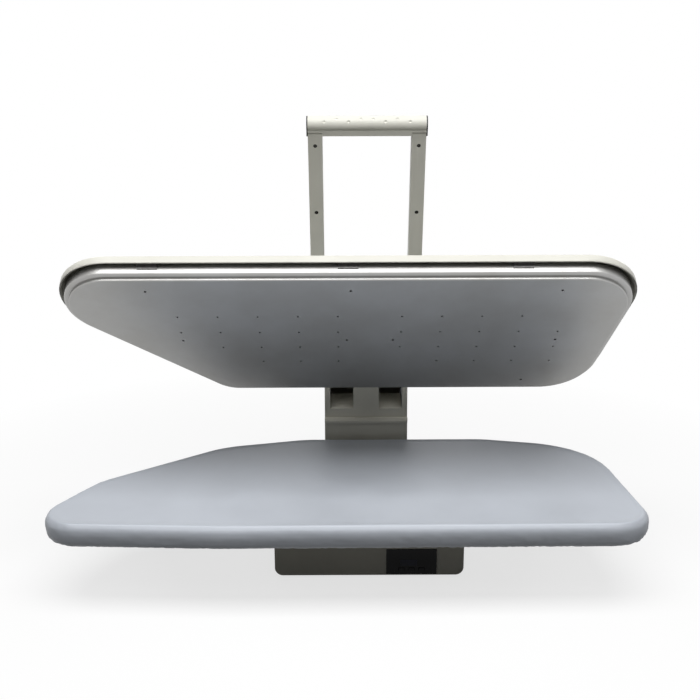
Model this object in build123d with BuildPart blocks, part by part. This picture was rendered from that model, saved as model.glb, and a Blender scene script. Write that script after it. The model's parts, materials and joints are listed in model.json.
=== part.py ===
"""Steam ironing press: padded board on a base, heated head on a rear hinge, two-arm press handle.

Millimetres, +Z up, +Y to the rear, +X to the right of someone standing at the board.
The origin is on the table, under the middle of the whole press.  The head stands open and
the handle stands above it, which is how the press rests when nobody pulls it down.
"""
import os
from math import cos, radians, sin

from build123d import *

os.makedirs("parts", exist_ok=True)

# General values
FIT = 0.05  # radial clearance of a shaft or screw in its hole
RUN = 0.3  # gap between pieces that slide past or rest near each other
OVERRUN = 2.0  # how far a cut runs past the face that it opens

# Base housing, a tub under the board that also carries the column
FOOT_HEIGHT = 5.0
BASE_WIDTH = 300.0
BASE_BEHIND = 138.5  # board rear to base rear
BASE_HEIGHT = 74.0
BASE_WALL = 3.0
BASE_EDGE_RADIUS = 13.0
BASE_SETBACK = 111.5  # board front to base front
REAR_PROUD = 2.0  # flanges of the rear fittings, behind the base
AXIS_X = 35.0  # middle of base, column and handle

# Board: cover, pad, perforated plate and pan
BOARD_WIDTH = 910.0
BOARD_DEPTH = 377.0
BOARD_THICKNESS = 37.5
BOARD_SPACE = 21.5  # base top to the underside of the cover
BOARD_CORNER_SHARES = (
    (-0.5, 0.04), (-0.454, 0.247), (-0.245, 0.683), (-0.094, 1.0),
    (0.37, 1.0), (0.481, 0.793), (0.5, 0.017), (-0.3, 0.0),
)
BOARD_CORNER_RADII = (55.0, 77.0, 150.0, 150.0, 150.0, 150.0, 60.0, 150.0)
COVER_THICKNESS = 1.2
COVER_TOP_RADIUS = 11.0
COVER_LOW_RADIUS = 14.0
COVER_HEM = 38.0  # how far the cover is drawn in under the board
FOAM_THICKNESS = 9.7
SHEET = 1.5
PAN_GAP = 3.0  # cover's outside to the pan's wall
PERFORATION_RADIUS = 4.0
PERFORATION_PITCH = 46.0
PERFORATION_COLUMNS = 13
PERFORATION_ROWS = 4
POST_RADIUS = 12.0
POST_INSET = 40.0

# Head: hinge place, tilt, heated plate and shell
OPEN_ANGLE = 48.0
HINGE_BEHIND = 91.0  # board rear to the hinge axis
HINGE_RISE = 90.6  # board top to the hinge axis
PRESS_GAP = 1.0  # plate to cover when the head is closed
PLATE_NARROWER = 36.0  # plate's width, less than the board's
PLATE_SHALLOWER = 50.5  # plate's depth, less than the board's
PLATE_CENTRE_X = 4.0
PLATE_SETBACK = 40.0  # board front to plate front, head closed
PLATE_CORNER_SHARES = ((-0.5, 0.0), (-0.249, 1.0), (0.47, 1.0), (0.5, 0.0))
PLATE_CORNER_RADII = (77.0, 60.0, 89.0, 82.0)
PLATE_HEIGHT = 24.0
PLATE_FLOOR = 8.0
PLATE_WALL = 4.0
FACE_INSET = 8.0
FACE_STEP = 5.0
FACE_RADIUS = 2.0
WALL_LOW_RADIUS = 5.0
SHELL_GAP = 6.0
SHELL_WALL = 3.0
RIM_LOW = 20.0
RIM_HIGH = 33.0
SHELL_TOP = 50.0
SHELL_SLOPE_RUN = 35.0

# Steam holes and screws in the plate's face
STEAM_RADIUS = 1.6
STEAM_PITCH_X = 62.5
STEAM_PITCH_Y = 43.0
STEAM_FIRST_X = 50.0
STEAM_SHIFT_X = 2.0  # middle of the pattern, right of the column's middle
STEAM_SETBACK = 102.5  # plate front to the first row
STEAM_ROWS = ((5, 0, 4), (5, 0, 5), (4, 0, 5), (3, 1, 5))  # left count, right first, right end
SCREW_RADIUS = 2.0
SCREW_SINK = 3.0  # screw ends, behind the plate's face
SCREW_HEAD_RADIUS = 3.6
PLATE_SCREW_SHARES = (
    (-0.35, 0.109), (0.0035, 0.109), (0.368, 0.109),
    (-0.3055, 0.516), (-0.0035, 0.516), (0.0812, 0.516), (0.381, 0.516), (0.3376, 0.8956),
)
CLIP_SHARES = (-0.342, -0.0006, 0.2973)
CLIP_WIDTH = 30.0
CLIP_DROP = 5.0

# Heater, chamber, insulation and frame inside the head
HEATER_RADIUS = 3.3
HEATER_BEND = 24.0
HEATER_SHARES = (
    (0.013, 0.76), (-0.187, 0.76), (-0.382, 0.213), (0.42, 0.213), (0.397, 0.76), (0.065, 0.76),
)
CHAMBER_INSET = 12.0
CHAMBER_ROOM = 0.4  # over and under the heater
CHAMBER_WALL = 2.0
BLANKET_INSET = 15.0
BLANKET_THICKNESS = 8.0
FRAME_THICKNESS = 6.0
FRAME_LEG_RADIUS = 8.0
CROSS_WIDTH = 24.0
FRONT_CROSS_SHARES = (-0.382, 0.42, 0.323)  # left end, right end, place in the depth
REAR_CROSS_SHARES = (-0.233, 0.386, 0.796)
RAIL_WIDTH = 30.0
RAIL_FRONT_INSET = 79.5  # from the plate's front edge
RAIL_REAR_INSET = 34.5  # from the plate's rear edge
PUMP_LENGTH = 50.0
PUMP_WIDTH = 50.0
PUMP_HEIGHT = 18.0
PUMP_OFFSET = 160.0  # left of the column's middle
HOSE_RADIUS = 3.0
HOSE_BEND = 9.0
HOSE_RUN = 25.0
HOSE_DROP = 10.5
THERMOSTAT_RADIUS = 12.0
THERMOSTAT_HEIGHT = 13.0
THERMOSTAT_OFFSET = 115.0

# Hinge shaft, head arms and bracket, from the column's middle outwards
SHAFT_RADIUS = 7.0
SHAFT_INSET = 2.75  # shaft end inside the handle arm's outer side
BUSH_RADIUS = 10.0
ARM_WIDTH = 36.0
ARM_SIDE_GAP = 4.0  # head arm to the bracket's wall
HUB_RADIUS = 18.0
ARM_TOP = 16.0
ARM_BOTTOM = 17.0
ARM_KNEE_OUT = 84.0
ARM_KNEE_DROP = 34.0
ARM_HEEL_OUT = 100.0
ARM_FRONT_OUT = 200.0  # from the hinge axis
ARM_FRONT_RISE = 15.6
ARM_BACK_OUT = 95.0
BOLT_RADIUS = 3.0
BOLT_HEAD_RADIUS = 5.5
BOLT_HEAD_HEIGHT = 5.0
BOLT_SEAT = 8.0
BOLT_INSETS = (12.0, 58.0)  # from the arm's front end
BRACKET_GAP = 2.0  # bracket to the column's wall
BRACKET_SHEET = 4.0
BRACKET_DEPTH = 55.0
BRACKET_BACK = 28.5
BRACKET_EYE = 22.0
SPRING_INNER = 2.0
SPRING_END_GAP = 2.0  # spring to the head arm
SPRING_RADIUS = 12.0
SPRING_CLEARANCE = 0.5
STOP_RADIUS = 5.0
STOP_OUT = 14.0
STOP_EYE = 8.0
SPACER_RADIUS = 12.0

# Column
COLUMN_WIDTH = 150.0
COLUMN_WALL = 3.0
BLOCK_GAP = 7.5  # board rear to the lower block's face
LIP_LOW = 29.5  # above the board top
LIP_HIGH = 37.5
LIP_PROUD = 5.0
LIP_BEVEL = 4.0
COLUMN_STEP = 6.0  # upper housing behind the lower block's face
COLUMN_CREST = 36.4  # above the hinge axis
COLUMN_CORNER = 4.0
SLOT_GAP = 3.0  # slot's side to the head arm
SLOT_SILL_DROP = 36.6  # below the hinge axis
SLOT_BACK = 6.0  # roof slot ends in front of the hinge axis
POCKET_WALL = 2.0  # floor and inner cheek behind each slot
POCKET_BACK = 20.0  # pocket ends in front of the hinge axis
POCKET_HUB_GAP = 8.0  # pocket floor's back end, below the hub
SHAFT_PASS = 1.0
VENT_WIDTH = 70.0
VENT_HEIGHT = 4.0
VENT_PITCH = 10.0
VENT_COUNT = 5
VENT_DROP = 42.0

# Control panel on the base front
PANEL_INSET = 43.0  # base's right side to the panel
PANEL_WIDTH = 80.0
PANEL_HEIGHT = 43.0
PANEL_LOW = 2.0  # above the tub's underside
PANEL_PROUD = 1.5
PANEL_LIP = 3.0
PANEL_DEPTH = 6.0
DISPLAY_WIDTH = 27.0
DISPLAY_HEIGHT = 11.0
DISPLAY_X = -4.6
DISPLAY_Z = -1.8
DISPLAY_THICKNESS = 2.0
KEY_WIDTH = 9.0
KEY_HEIGHT = 4.6
KEY_PITCH = 16.0
KEY_DROP = 13.0
KEY_PROUD = 0.8
KEY_LENGTH = 8.0
KEY_TRAVEL = 1.2
KEY_RADIUS = 1.0
BOARD_SHEET = 1.6
BOARD_MARGIN = 2.0

# Rear fittings
GLAND_INSET = 40.0  # base's right side to the gland's axis
GLAND_RADIUS = 8.0
GLAND_FLANGE = 11.0
GLAND_BORE = 4.0
GLAND_LENGTH = 14.0
SWITCH_INSET = 45.0  # base's left side to the switch's middle
SWITCH_FRAME_WIDTH = 19.0
SWITCH_FRAME_HEIGHT = 28.0
SWITCH_BODY_WIDTH = 15.0
SWITCH_BODY_HEIGHT = 24.0
SWITCH_BODY_DEPTH = 16.0
ROCKER_WIDTH = 10.0
ROCKER_RADIUS = 9.2
ROCKER_GAP = 0.5
ROCKER_TILT = 7.0
ROCKER_CROWN = 2.6
FITTING_RISE = 38.0  # above the tub's underside

# Screws, feet, chassis and boards in the base
FOOT_RADIUS = 11.0
FOOT_INSET = 30.0
FOOT_RECESS = 2.6
FOOT_RECESS_RADIUS = 4.7
PAD_RISE = 2.0
PAD_RADIUS = 9.0
CHASSIS_SHEET = 2.0
CHASSIS_INSET = 14.0
SCREW_TAIL = 2.0
DECK_THICKNESS = 3.0
DECK_BOSS_RADIUS = 5.0
DECK_BOSS_INSET = 12.0
DECK_SCREW_LENGTH = 12.0
DECK_SCREW_HEAD = 3.4
DECK_SCREW_CAP = 1.7
DECK_HOLE_MARGIN = 1.5
POWER_BOARD_WIDTH = 150.0
POWER_BOARD_DEPTH = 100.0
POWER_BOARD_LEG = 6.0
POWER_BOARD_LEG_INSET = 7.0
POWER_BOARD_SETBACK = 160.0
COIL_BLOCK = 42.0
COIL_BLOCK_HEIGHT = 32.0
CAPACITOR_RADIUS = 9.0
CAPACITOR_HEIGHT = 26.0
CAPACITOR_PITCH = 24.0

# Water tank on the head
TANK_WIDTH = 124.0
TANK_LENGTH = 130.0
TANK_HEIGHT = 36.0
TANK_WALL = 2.5
TANK_CORNER = 12.0
TANK_EDGE = 4.0
TANK_GAP = 10.5  # head arm's front end to the tank
DOCK_FLOOR = 2.0
DOCK_RIM = 7.0
DOCK_WALL = 2.5
DOCK_GAP = 1.0
NECK_RADIUS = 15.0
NECK_SHIFT = 30.0
CAP_RADIUS = 20.0
CAP_HEIGHT = 7.0
CAP_PLUG = 6.0
CAP_EDGE = 1.5

# Handle, from the column's middle outwards and from the hinge axis along the arm
HANDLE_ANGLE = 74.5
ARM_COVER_WIDTH = 23.5
ARM_COVER_TUCK = 1.75  # arm's inner side inside the column's side
ARM_COVER_GAP = 2.0  # column's side to the arm beside it
ARM_RELIEF_LENGTH = 104.0
ARM_HALF = 13.0
ARM_COVER_WALL = 2.0
ARM_SEAM = 475.6
GRIP_LIFT = 9.8  # arm's seam to the grip's axis
GRIP_RADIUS = 14.6
GRIP_WALL = 2.6
GRIP_SKIRT = 13.7
GRIP_SEAM_GAP = 0.8
GRIP_OVERHANG = 2.05  # grip's end past the arm's outer side
GRIP_CAP = 2.0
GRIP_CAP_PLUG = 6.0
DIMPLE_RADIUS = 3.2
DIMPLE_DEPTH = 1.3
DIMPLE_PITCH = 20.0
DIMPLE_LOW_ANGLE = 37.5
DIMPLE_HIGH_ANGLE = 58.8
DIMPLES_A_SIDE = 4
BAR_WIDTH = 6.0
BAR_HALF = 5.0
EYE_RADIUS = 10.5
EYE_INNER_INSET = 2.5  # arm's relieved side to the eye
EYE_OUTER_INSET = 3.25  # eye to the arm's outer side
HANDLE_BUSH_RADIUS = 8.8
ROD_RADIUS = 6.0
HANDLE_SCREW_INSETS = (21.9, 138.9)  # back from the arm's seam
HANDLE_SCREW_RADIUS = 1.5
HANDLE_SCREW_HEAD = 3.2
HANDLE_SCREW_HEAD_HEIGHT = 2.5
HANDLE_SCREW_SINK = 4.5
HANDLE_BOSS_RADIUS = 5.5
HANDLE_BOSS_END = 5.4
PIVOT_CAP_RADIUS = 10.0
PIVOT_CAP_THICKNESS = 2.0
WASHER_RADIUS = 13.0
WASHER_THICKNESS = 1.5
BUTTON_LENGTH = 30.0
BUTTON_WIDTH = 12.0
BUTTON_TOP = 16.6
BUTTON_BOTTOM = 10.0
BUTTON_EDGE = 1.5
BUTTON_SWITCH_LENGTH = 12.0
BUTTON_SWITCH_WIDTH = 6.0
BUTTON_SWITCH_HEIGHT = 1.6

# Places worked out from the sizes above
BASE_DEPTH = BOARD_DEPTH + BASE_BEHIND - BASE_SETBACK
DEPTH = BASE_SETBACK + BASE_DEPTH + REAR_PROUD
FRONT_Y = -DEPTH / 2
BASE_FRONT_Y = FRONT_Y + BASE_SETBACK
BASE_REAR_Y = BASE_FRONT_Y + BASE_DEPTH
BASE_MIDDLE_Y = (BASE_FRONT_Y + BASE_REAR_Y) / 2
BASE_LOW_Z = FOOT_HEIGHT
BASE_TOP_Z = BASE_LOW_Z + BASE_HEIGHT
BASE_FLOOR_Z = BASE_LOW_Z + BASE_WALL
CHASSIS_Z = BASE_FLOOR_Z + PAD_RISE
CHASSIS_TOP_Z = CHASSIS_Z + CHASSIS_SHEET
COVER_LOW_Z = BASE_TOP_Z + BOARD_SPACE
BOARD_TOP_Z = COVER_LOW_Z + BOARD_THICKNESS
PAN_LOW_Z = COVER_LOW_Z + COVER_THICKNESS + RUN
FOAM_TOP_Z = BOARD_TOP_Z - COVER_THICKNESS - RUN
FOAM_LOW_Z = FOAM_TOP_Z - FOAM_THICKNESS
PAN_TOP_Z = FOAM_LOW_Z - RUN - SHEET
BOARD_REAR_Y = FRONT_Y + BOARD_DEPTH
HINGE_Y = BOARD_REAR_Y + HINGE_BEHIND
HINGE_Z = BOARD_TOP_Z + HINGE_RISE
FACE_LEVEL = PRESS_GAP - HINGE_RISE  # plate's face, from the hinge axis, square to the plate
PLATE_WIDTH = BOARD_WIDTH - PLATE_NARROWER
PLATE_DEPTH = BOARD_DEPTH - PLATE_SHALLOWER
PLATE_FRONT = FRONT_Y + PLATE_SETBACK - HINGE_Y  # plate's front edge, from the hinge axis
PLATE_REAR = PLATE_FRONT + PLATE_DEPTH
SHELL_GROW = SHELL_GAP + SHELL_WALL
SHELL_LEVEL = FACE_LEVEL + SHELL_TOP
CEILING_LEVEL = SHELL_LEVEL - SHELL_WALL
FLOOR_LEVEL = FACE_LEVEL + PLATE_FLOOR
CHAMBER_HEIGHT = 2 * HEATER_RADIUS + CHAMBER_ROOM + CHAMBER_WALL
CHAMBER_LEVEL = FLOOR_LEVEL + CHAMBER_HEIGHT
FRAME_LEVEL = CEILING_LEVEL - FRAME_THICKNESS
DOCK_LEVEL = SHELL_LEVEL + DOCK_FLOOR
TANK_LEVEL = DOCK_LEVEL + RUN
TANK_MIDDLE = -ARM_FRONT_OUT - TANK_GAP - TANK_LENGTH / 2
COLUMN_HALF = COLUMN_WIDTH / 2
COLUMN_FRONT_Y = BOARD_REAR_Y + BLOCK_GAP
COLUMN_TOP_Z = HINGE_Z + COLUMN_CREST
LIP_LOW_Z = BOARD_TOP_Z + LIP_LOW
LIP_TOP_Z = BOARD_TOP_Z + LIP_HIGH
FITTING_Z = BASE_LOW_Z + FITTING_RISE
PANEL_Z = BASE_LOW_Z + PANEL_LOW + PANEL_HEIGHT / 2
BRACKET_OUTER = COLUMN_HALF - COLUMN_WALL - BRACKET_GAP
ARM_OUTER = BRACKET_OUTER - BRACKET_SHEET - ARM_SIDE_GAP
ARM_INNER = ARM_OUTER - ARM_WIDTH
ARM_MIDDLE = (ARM_INNER + ARM_OUTER) / 2
ARM_COVER_INNER = COLUMN_HALF - ARM_COVER_TUCK
ARM_COVER_RELIEF = COLUMN_HALF + ARM_COVER_GAP
ARM_COVER_OUTER = ARM_COVER_INNER + ARM_COVER_WIDTH
ARM_COVER_MIDDLE = (ARM_COVER_INNER + ARM_COVER_OUTER) / 2
EYE_INNER = ARM_COVER_RELIEF + EYE_INNER_INSET
EYE_OUTER = ARM_COVER_OUTER - EYE_OUTER_INSET
SHAFT_HALF = ARM_COVER_OUTER - SHAFT_INSET
GRIP_AXIS = ARM_SEAM + GRIP_LIFT
GRIP_HALF = ARM_COVER_OUTER + GRIP_OVERHANG
PANEL_X = AXIS_X + BASE_WIDTH / 2 - PANEL_INSET - PANEL_WIDTH / 2
GLAND_X = AXIS_X + BASE_WIDTH / 2 - GLAND_INSET
SWITCH_X = AXIS_X - BASE_WIDTH / 2 + SWITCH_INSET
PUMP_MIDDLE = AXIS_X - PUMP_OFFSET
PUMP_LEVEL = CEILING_LEVEL - PUMP_HEIGHT
PUMP_PORT_LEVEL = CEILING_LEVEL - HOSE_DROP


def tilted_plane(angle, level=0.0):
    """A plane through the hinge axis, raised by level, whose front edge is tipped up."""
    normal = (0, sin(radians(angle)), cos(radians(angle)))
    return Plane(origin=(0, HINGE_Y, HINGE_Z), x_dir=(1, 0, 0), z_dir=normal).offset(level)


def side_plane(x, angle=0.0):
    """A plane square to X whose own axes run backwards and up from the hinge axis."""
    backwards = (0, cos(radians(angle)), -sin(radians(angle)))
    return Plane(origin=(x, HINGE_Y, HINGE_Z), x_dir=backwards, z_dir=(1, 0, 0))


def head(level=0.0):
    """A plane of the head, in the open place, at a level square to its plate."""
    return tilted_plane(OPEN_ANGLE, level)


def handle(level=0.0):
    """A plane of the handle, in its rest place."""
    return tilted_plane(HANDLE_ANGLE, level)


def hull_outline(width, depth, shares, radii, middle_x, front, grow):
    """Draws one circle at each corner, grown alike, and the outline that wraps them.

    A share is of the room that a circle has inside the width, from the middle, and the depth.
    """
    for (share_x, share_y), radius in zip(shares, radii):
        x = middle_x + share_x * (width - 2 * radius)
        y = front + radius + share_y * (depth - 2 * radius)
        with Locations((x, y)):
            Circle(radius + grow)
    make_hull()


def board_outline(grow=0.0):
    """The board's plan, on a level plane."""
    hull_outline(BOARD_WIDTH, BOARD_DEPTH, BOARD_CORNER_SHARES, BOARD_CORNER_RADII, 0, FRONT_Y, grow)


def plate_outline(grow=0.0):
    """The plate's plan, on a plane of the head."""
    hull_outline(PLATE_WIDTH, PLATE_DEPTH, PLATE_CORNER_SHARES, PLATE_CORNER_RADII,
                 PLATE_CENTRE_X, PLATE_FRONT, grow)


def plate_place(share_x, share_y):
    """A place on the head's planes, from shares of the plate's width and depth."""
    return (PLATE_CENTRE_X + share_x * PLATE_WIDTH, PLATE_FRONT + share_y * PLATE_DEPTH)


def span_box(low, high):
    """Draws a rectangle between two corners of the sketch."""
    with Locations(((low[0] + high[0]) / 2, (low[1] + high[1]) / 2)):
        Rectangle(high[0] - low[0], high[1] - low[1])


def save(builder, name):
    """Labels a finished piece and writes it to its own file."""
    builder.part.label = name
    export_step(builder.part, f"parts/{name}.step")


# Base housing: a tub with rounded lower edges, screw bosses, a panel hole and two rear holes
DECK_BOSSES = [
    (AXIS_X + side * (BASE_WIDTH / 2 - DECK_BOSS_INSET), y)
    for side in (-1, 1)
    for y in (BASE_FRONT_Y + DECK_BOSS_INSET, BASE_MIDDLE_Y, BASE_REAR_Y - DECK_BOSS_INSET)
]
FEET = [
    (AXIS_X + side * (BASE_WIDTH / 2 - FOOT_INSET), y)
    for side in (-1, 1)
    for y in (BASE_FRONT_Y + FOOT_INSET, BASE_REAR_Y - FOOT_INSET)
]
DECK_LOW_Z = BASE_TOP_Z - DECK_THICKNESS


def tub_profile(inset, low, high):
    """Draws the tub's front view on a plane square to Y, with its two low corners rounded."""
    half = BASE_WIDTH / 2 - inset
    radius = BASE_EDGE_RADIUS - inset
    with BuildLine() as front_view:
        FilletPolyline(
            (AXIS_X - half, high), (AXIS_X - half, low), (AXIS_X + half, low), (AXIS_X + half, high),
            radius=radius,
        )
        Line((AXIS_X + half, high), (AXIS_X - half, high))
    make_face(front_view.edges())


with BuildPart() as base_housing:
    with BuildSketch(Plane.XZ.offset(-BASE_FRONT_Y)):
        tub_profile(0, BASE_LOW_Z, BASE_TOP_Z)
    extrude(amount=-BASE_DEPTH)
    with BuildSketch(Plane.XZ.offset(-BASE_FRONT_Y - BASE_WALL)):
        tub_profile(BASE_WALL, BASE_FLOOR_Z, BASE_TOP_Z + OVERRUN)
    extrude(amount=-(BASE_DEPTH - 2 * BASE_WALL), mode=Mode.SUBTRACT)
    with BuildSketch(Plane.XY.offset(BASE_FLOOR_Z)):
        with Locations(*DECK_BOSSES):
            Circle(DECK_BOSS_RADIUS)
    extrude(amount=DECK_LOW_Z - BASE_FLOOR_Z)
    with BuildSketch(Plane.XY.offset(BASE_FLOOR_Z)):
        with Locations(*FEET):
            Circle(PAD_RADIUS)
    extrude(amount=PAD_RISE)
    with BuildSketch(Plane.XY.offset(DECK_LOW_Z)):
        with Locations(*DECK_BOSSES):
            Circle(SCREW_RADIUS + FIT)
    extrude(amount=-DECK_SCREW_LENGTH, mode=Mode.SUBTRACT)
    with BuildSketch(Plane.XY.offset(BASE_LOW_Z)):
        with Locations(*FEET):
            Circle(SCREW_RADIUS + FIT)
    extrude(amount=BASE_WALL + PAD_RISE, mode=Mode.SUBTRACT)
    with BuildSketch(Plane.XZ.offset(-BASE_FRONT_Y)):
        with Locations((PANEL_X, PANEL_Z)):
            Rectangle(PANEL_WIDTH - 2 * PANEL_LIP, PANEL_HEIGHT - 2 * PANEL_LIP)
    extrude(amount=-BASE_WALL, mode=Mode.SUBTRACT)
    with BuildSketch(Plane.XZ.offset(-BASE_REAR_Y)):
        with Locations((GLAND_X, FITTING_Z)):
            Circle(GLAND_RADIUS + FIT)
        with Locations((SWITCH_X, FITTING_Z)):
            Rectangle(SWITCH_BODY_WIDTH + 2 * FIT, SWITCH_BODY_HEIGHT + 2 * FIT)
    extrude(amount=BASE_WALL, mode=Mode.SUBTRACT)
save(base_housing, "base_housing")

# Deck: the sheet that closes the tub, with a hole for the hinge bracket
BRACKET_REAR_Y = HINGE_Y + BRACKET_BACK
BRACKET_FRONT_Y = BRACKET_REAR_Y - BRACKET_DEPTH
with BuildPart() as base_deck:
    with BuildSketch(Plane.XY.offset(DECK_LOW_Z)):
        with Locations((AXIS_X, BASE_MIDDLE_Y)):
            Rectangle(BASE_WIDTH - 2 * (BASE_WALL + RUN), BASE_DEPTH - 2 * (BASE_WALL + RUN))
        with Locations((AXIS_X, (BRACKET_FRONT_Y + BRACKET_REAR_Y) / 2)):
            Rectangle(2 * (BRACKET_OUTER + DECK_HOLE_MARGIN), BRACKET_DEPTH + 2 * DECK_HOLE_MARGIN,
                      mode=Mode.SUBTRACT)
        with Locations(*DECK_BOSSES):
            Circle(SCREW_RADIUS + FIT, mode=Mode.SUBTRACT)
    extrude(amount=DECK_THICKNESS)
save(base_deck, "base_deck")

with BuildPart() as deck_screws:
    with BuildSketch(Plane.XY.offset(BASE_TOP_Z)):
        with Locations(*DECK_BOSSES):
            Circle(DECK_SCREW_HEAD)
    extrude(amount=DECK_SCREW_CAP)
    with BuildSketch(Plane.XY.offset(BASE_TOP_Z)):
        with Locations(*DECK_BOSSES):
            Circle(SCREW_RADIUS)
    extrude(amount=-DECK_SCREW_LENGTH)
save(deck_screws, "deck_screws")

# Rubber feet and the screws that hold them through the tub to the chassis
with BuildPart() as rubber_feet:
    with BuildSketch(Plane.XY):
        with Locations(*FEET):
            Circle(FOOT_RADIUS)
    extrude(amount=FOOT_HEIGHT)
    with BuildSketch(Plane.XY):
        with Locations(*FEET):
            Circle(FOOT_RECESS_RADIUS)
    extrude(amount=FOOT_RECESS, mode=Mode.SUBTRACT)
    with BuildSketch(Plane.XY):
        with Locations(*FEET):
            Circle(SCREW_RADIUS + FIT)
    extrude(amount=FOOT_HEIGHT, mode=Mode.SUBTRACT)
save(rubber_feet, "rubber_feet")

with BuildPart() as foot_screws:
    with BuildSketch(Plane.XY.offset(FOOT_RECESS)):
        with Locations(*FEET):
            Circle(SCREW_RADIUS)
    extrude(amount=CHASSIS_TOP_Z + SCREW_TAIL - FOOT_RECESS)
    with BuildSketch(Plane.XY.offset(FOOT_RECESS)):
        with Locations(*FEET):
            Circle(SCREW_HEAD_RADIUS)
    extrude(amount=RUN - FOOT_RECESS)
save(foot_screws, "foot_screws")

with BuildPart() as chassis_plate:
    with BuildSketch(Plane.XY.offset(CHASSIS_Z)):
        with Locations((AXIS_X, BASE_MIDDLE_Y)):
            Rectangle(BASE_WIDTH - 2 * CHASSIS_INSET, BASE_DEPTH - 2 * CHASSIS_INSET)
        with Locations(*DECK_BOSSES):
            Circle(DECK_BOSS_RADIUS + RUN, mode=Mode.SUBTRACT)
        with Locations(*FEET):
            Circle(SCREW_RADIUS + FIT, mode=Mode.SUBTRACT)
    extrude(amount=CHASSIS_SHEET)
save(chassis_plate, "chassis_plate")

# Power board on four legs
POWER_BOARD_Y = BASE_FRONT_Y + POWER_BOARD_SETBACK
POWER_BOARD_Z = CHASSIS_TOP_Z + POWER_BOARD_LEG
with BuildPart() as power_board:
    with BuildSketch(Plane.XY.offset(POWER_BOARD_Z)):
        with Locations((AXIS_X, POWER_BOARD_Y)):
            Rectangle(POWER_BOARD_WIDTH, POWER_BOARD_DEPTH)
    extrude(amount=BOARD_SHEET)
    with BuildSketch(Plane.XY.offset(CHASSIS_TOP_Z)):
        with Locations((AXIS_X, POWER_BOARD_Y)):
            with GridLocations(POWER_BOARD_WIDTH - 2 * POWER_BOARD_LEG_INSET,
                               POWER_BOARD_DEPTH - 2 * POWER_BOARD_LEG_INSET, 2, 2):
                Circle(SCREW_HEAD_RADIUS)
    extrude(amount=POWER_BOARD_LEG)
    with BuildSketch(Plane.XY.offset(POWER_BOARD_Z + BOARD_SHEET)):
        with Locations((AXIS_X - POWER_BOARD_WIDTH / 4, POWER_BOARD_Y)):
            Rectangle(COIL_BLOCK, COIL_BLOCK)
    extrude(amount=COIL_BLOCK_HEIGHT)
    with BuildSketch(Plane.XY.offset(POWER_BOARD_Z + BOARD_SHEET)):
        with Locations((AXIS_X + POWER_BOARD_WIDTH / 4, POWER_BOARD_Y)):
            with GridLocations(CAPACITOR_PITCH, CAPACITOR_PITCH, 2, 2):
                Circle(CAPACITOR_RADIUS)
    extrude(amount=CAPACITOR_HEIGHT)
save(power_board, "power_board")

# Control panel: bezel with a display window and three keys, and the board behind it
PANEL_BACK = -BASE_FRONT_Y - PANEL_DEPTH  # offset of an XZ plane at the bezel's back
KEYS = [(PANEL_X + place * KEY_PITCH, PANEL_Z - KEY_DROP) for place in (-1, 0, 1)]
DISPLAY = (PANEL_X + DISPLAY_X, PANEL_Z + DISPLAY_Z)
with BuildPart() as panel_bezel:
    with BuildSketch(Plane.XZ.offset(-BASE_FRONT_Y)):
        with Locations((PANEL_X, PANEL_Z)):
            Rectangle(PANEL_WIDTH, PANEL_HEIGHT)
    extrude(amount=PANEL_PROUD)
    with BuildSketch(Plane.XZ.offset(PANEL_BACK)):
        with Locations((PANEL_X, PANEL_Z)):
            Rectangle(PANEL_WIDTH - 2 * (PANEL_LIP + FIT), PANEL_HEIGHT - 2 * (PANEL_LIP + FIT))
    extrude(amount=PANEL_DEPTH)
    with BuildSketch(Plane.XZ.offset(PANEL_BACK)):
        with Locations(*KEYS):
            Rectangle(KEY_WIDTH + 2 * RUN, KEY_HEIGHT + 2 * RUN)
        with Locations(DISPLAY):
            Rectangle(DISPLAY_WIDTH, DISPLAY_HEIGHT)
    extrude(amount=PANEL_DEPTH + PANEL_PROUD, mode=Mode.SUBTRACT)
save(panel_bezel, "panel_bezel")

with BuildPart() as display_lens:
    with BuildSketch(Plane.XZ.offset(-BASE_FRONT_Y + PANEL_PROUD)):
        with Locations(DISPLAY):
            Rectangle(DISPLAY_WIDTH - 2 * FIT, DISPLAY_HEIGHT - 2 * FIT)
    extrude(amount=-DISPLAY_THICKNESS)
save(display_lens, "display_lens")

for name, place in zip(("key_left", "key_middle", "key_right"), KEYS):
    with BuildPart() as panel_key:
        with BuildSketch(Plane.XZ.offset(-BASE_FRONT_Y + PANEL_PROUD + KEY_PROUD)):
            with Locations(place):
                RectangleRounded(KEY_WIDTH, KEY_HEIGHT, KEY_RADIUS)
        extrude(amount=-KEY_LENGTH)
    save(panel_key, name)

KEY_BACK = PANEL_PROUD + KEY_PROUD - KEY_LENGTH
with BuildPart() as control_board:
    with BuildSketch(Plane.XZ.offset(-BASE_FRONT_Y + KEY_BACK - KEY_TRAVEL - RUN)):
        with Locations((PANEL_X, PANEL_Z + BOARD_MARGIN)):
            Rectangle(PANEL_WIDTH - 2 * PANEL_LIP - BOARD_MARGIN, PANEL_HEIGHT - 2 * PANEL_LIP)
    extrude(amount=-BOARD_SHEET)
    with BuildSketch(Plane.XZ.offset(-BASE_FRONT_Y + KEY_BACK - KEY_TRAVEL - RUN)):
        with Locations((PANEL_X, PANEL_Z + PANEL_HEIGHT / 2 - PANEL_LIP - BOARD_MARGIN)):
            Rectangle(PANEL_WIDTH - 4 * PANEL_LIP, BOARD_MARGIN)
    extrude(amount=KEY_TRAVEL + RUN - KEY_BACK - PANEL_DEPTH)
save(control_board, "control_board")

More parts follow.
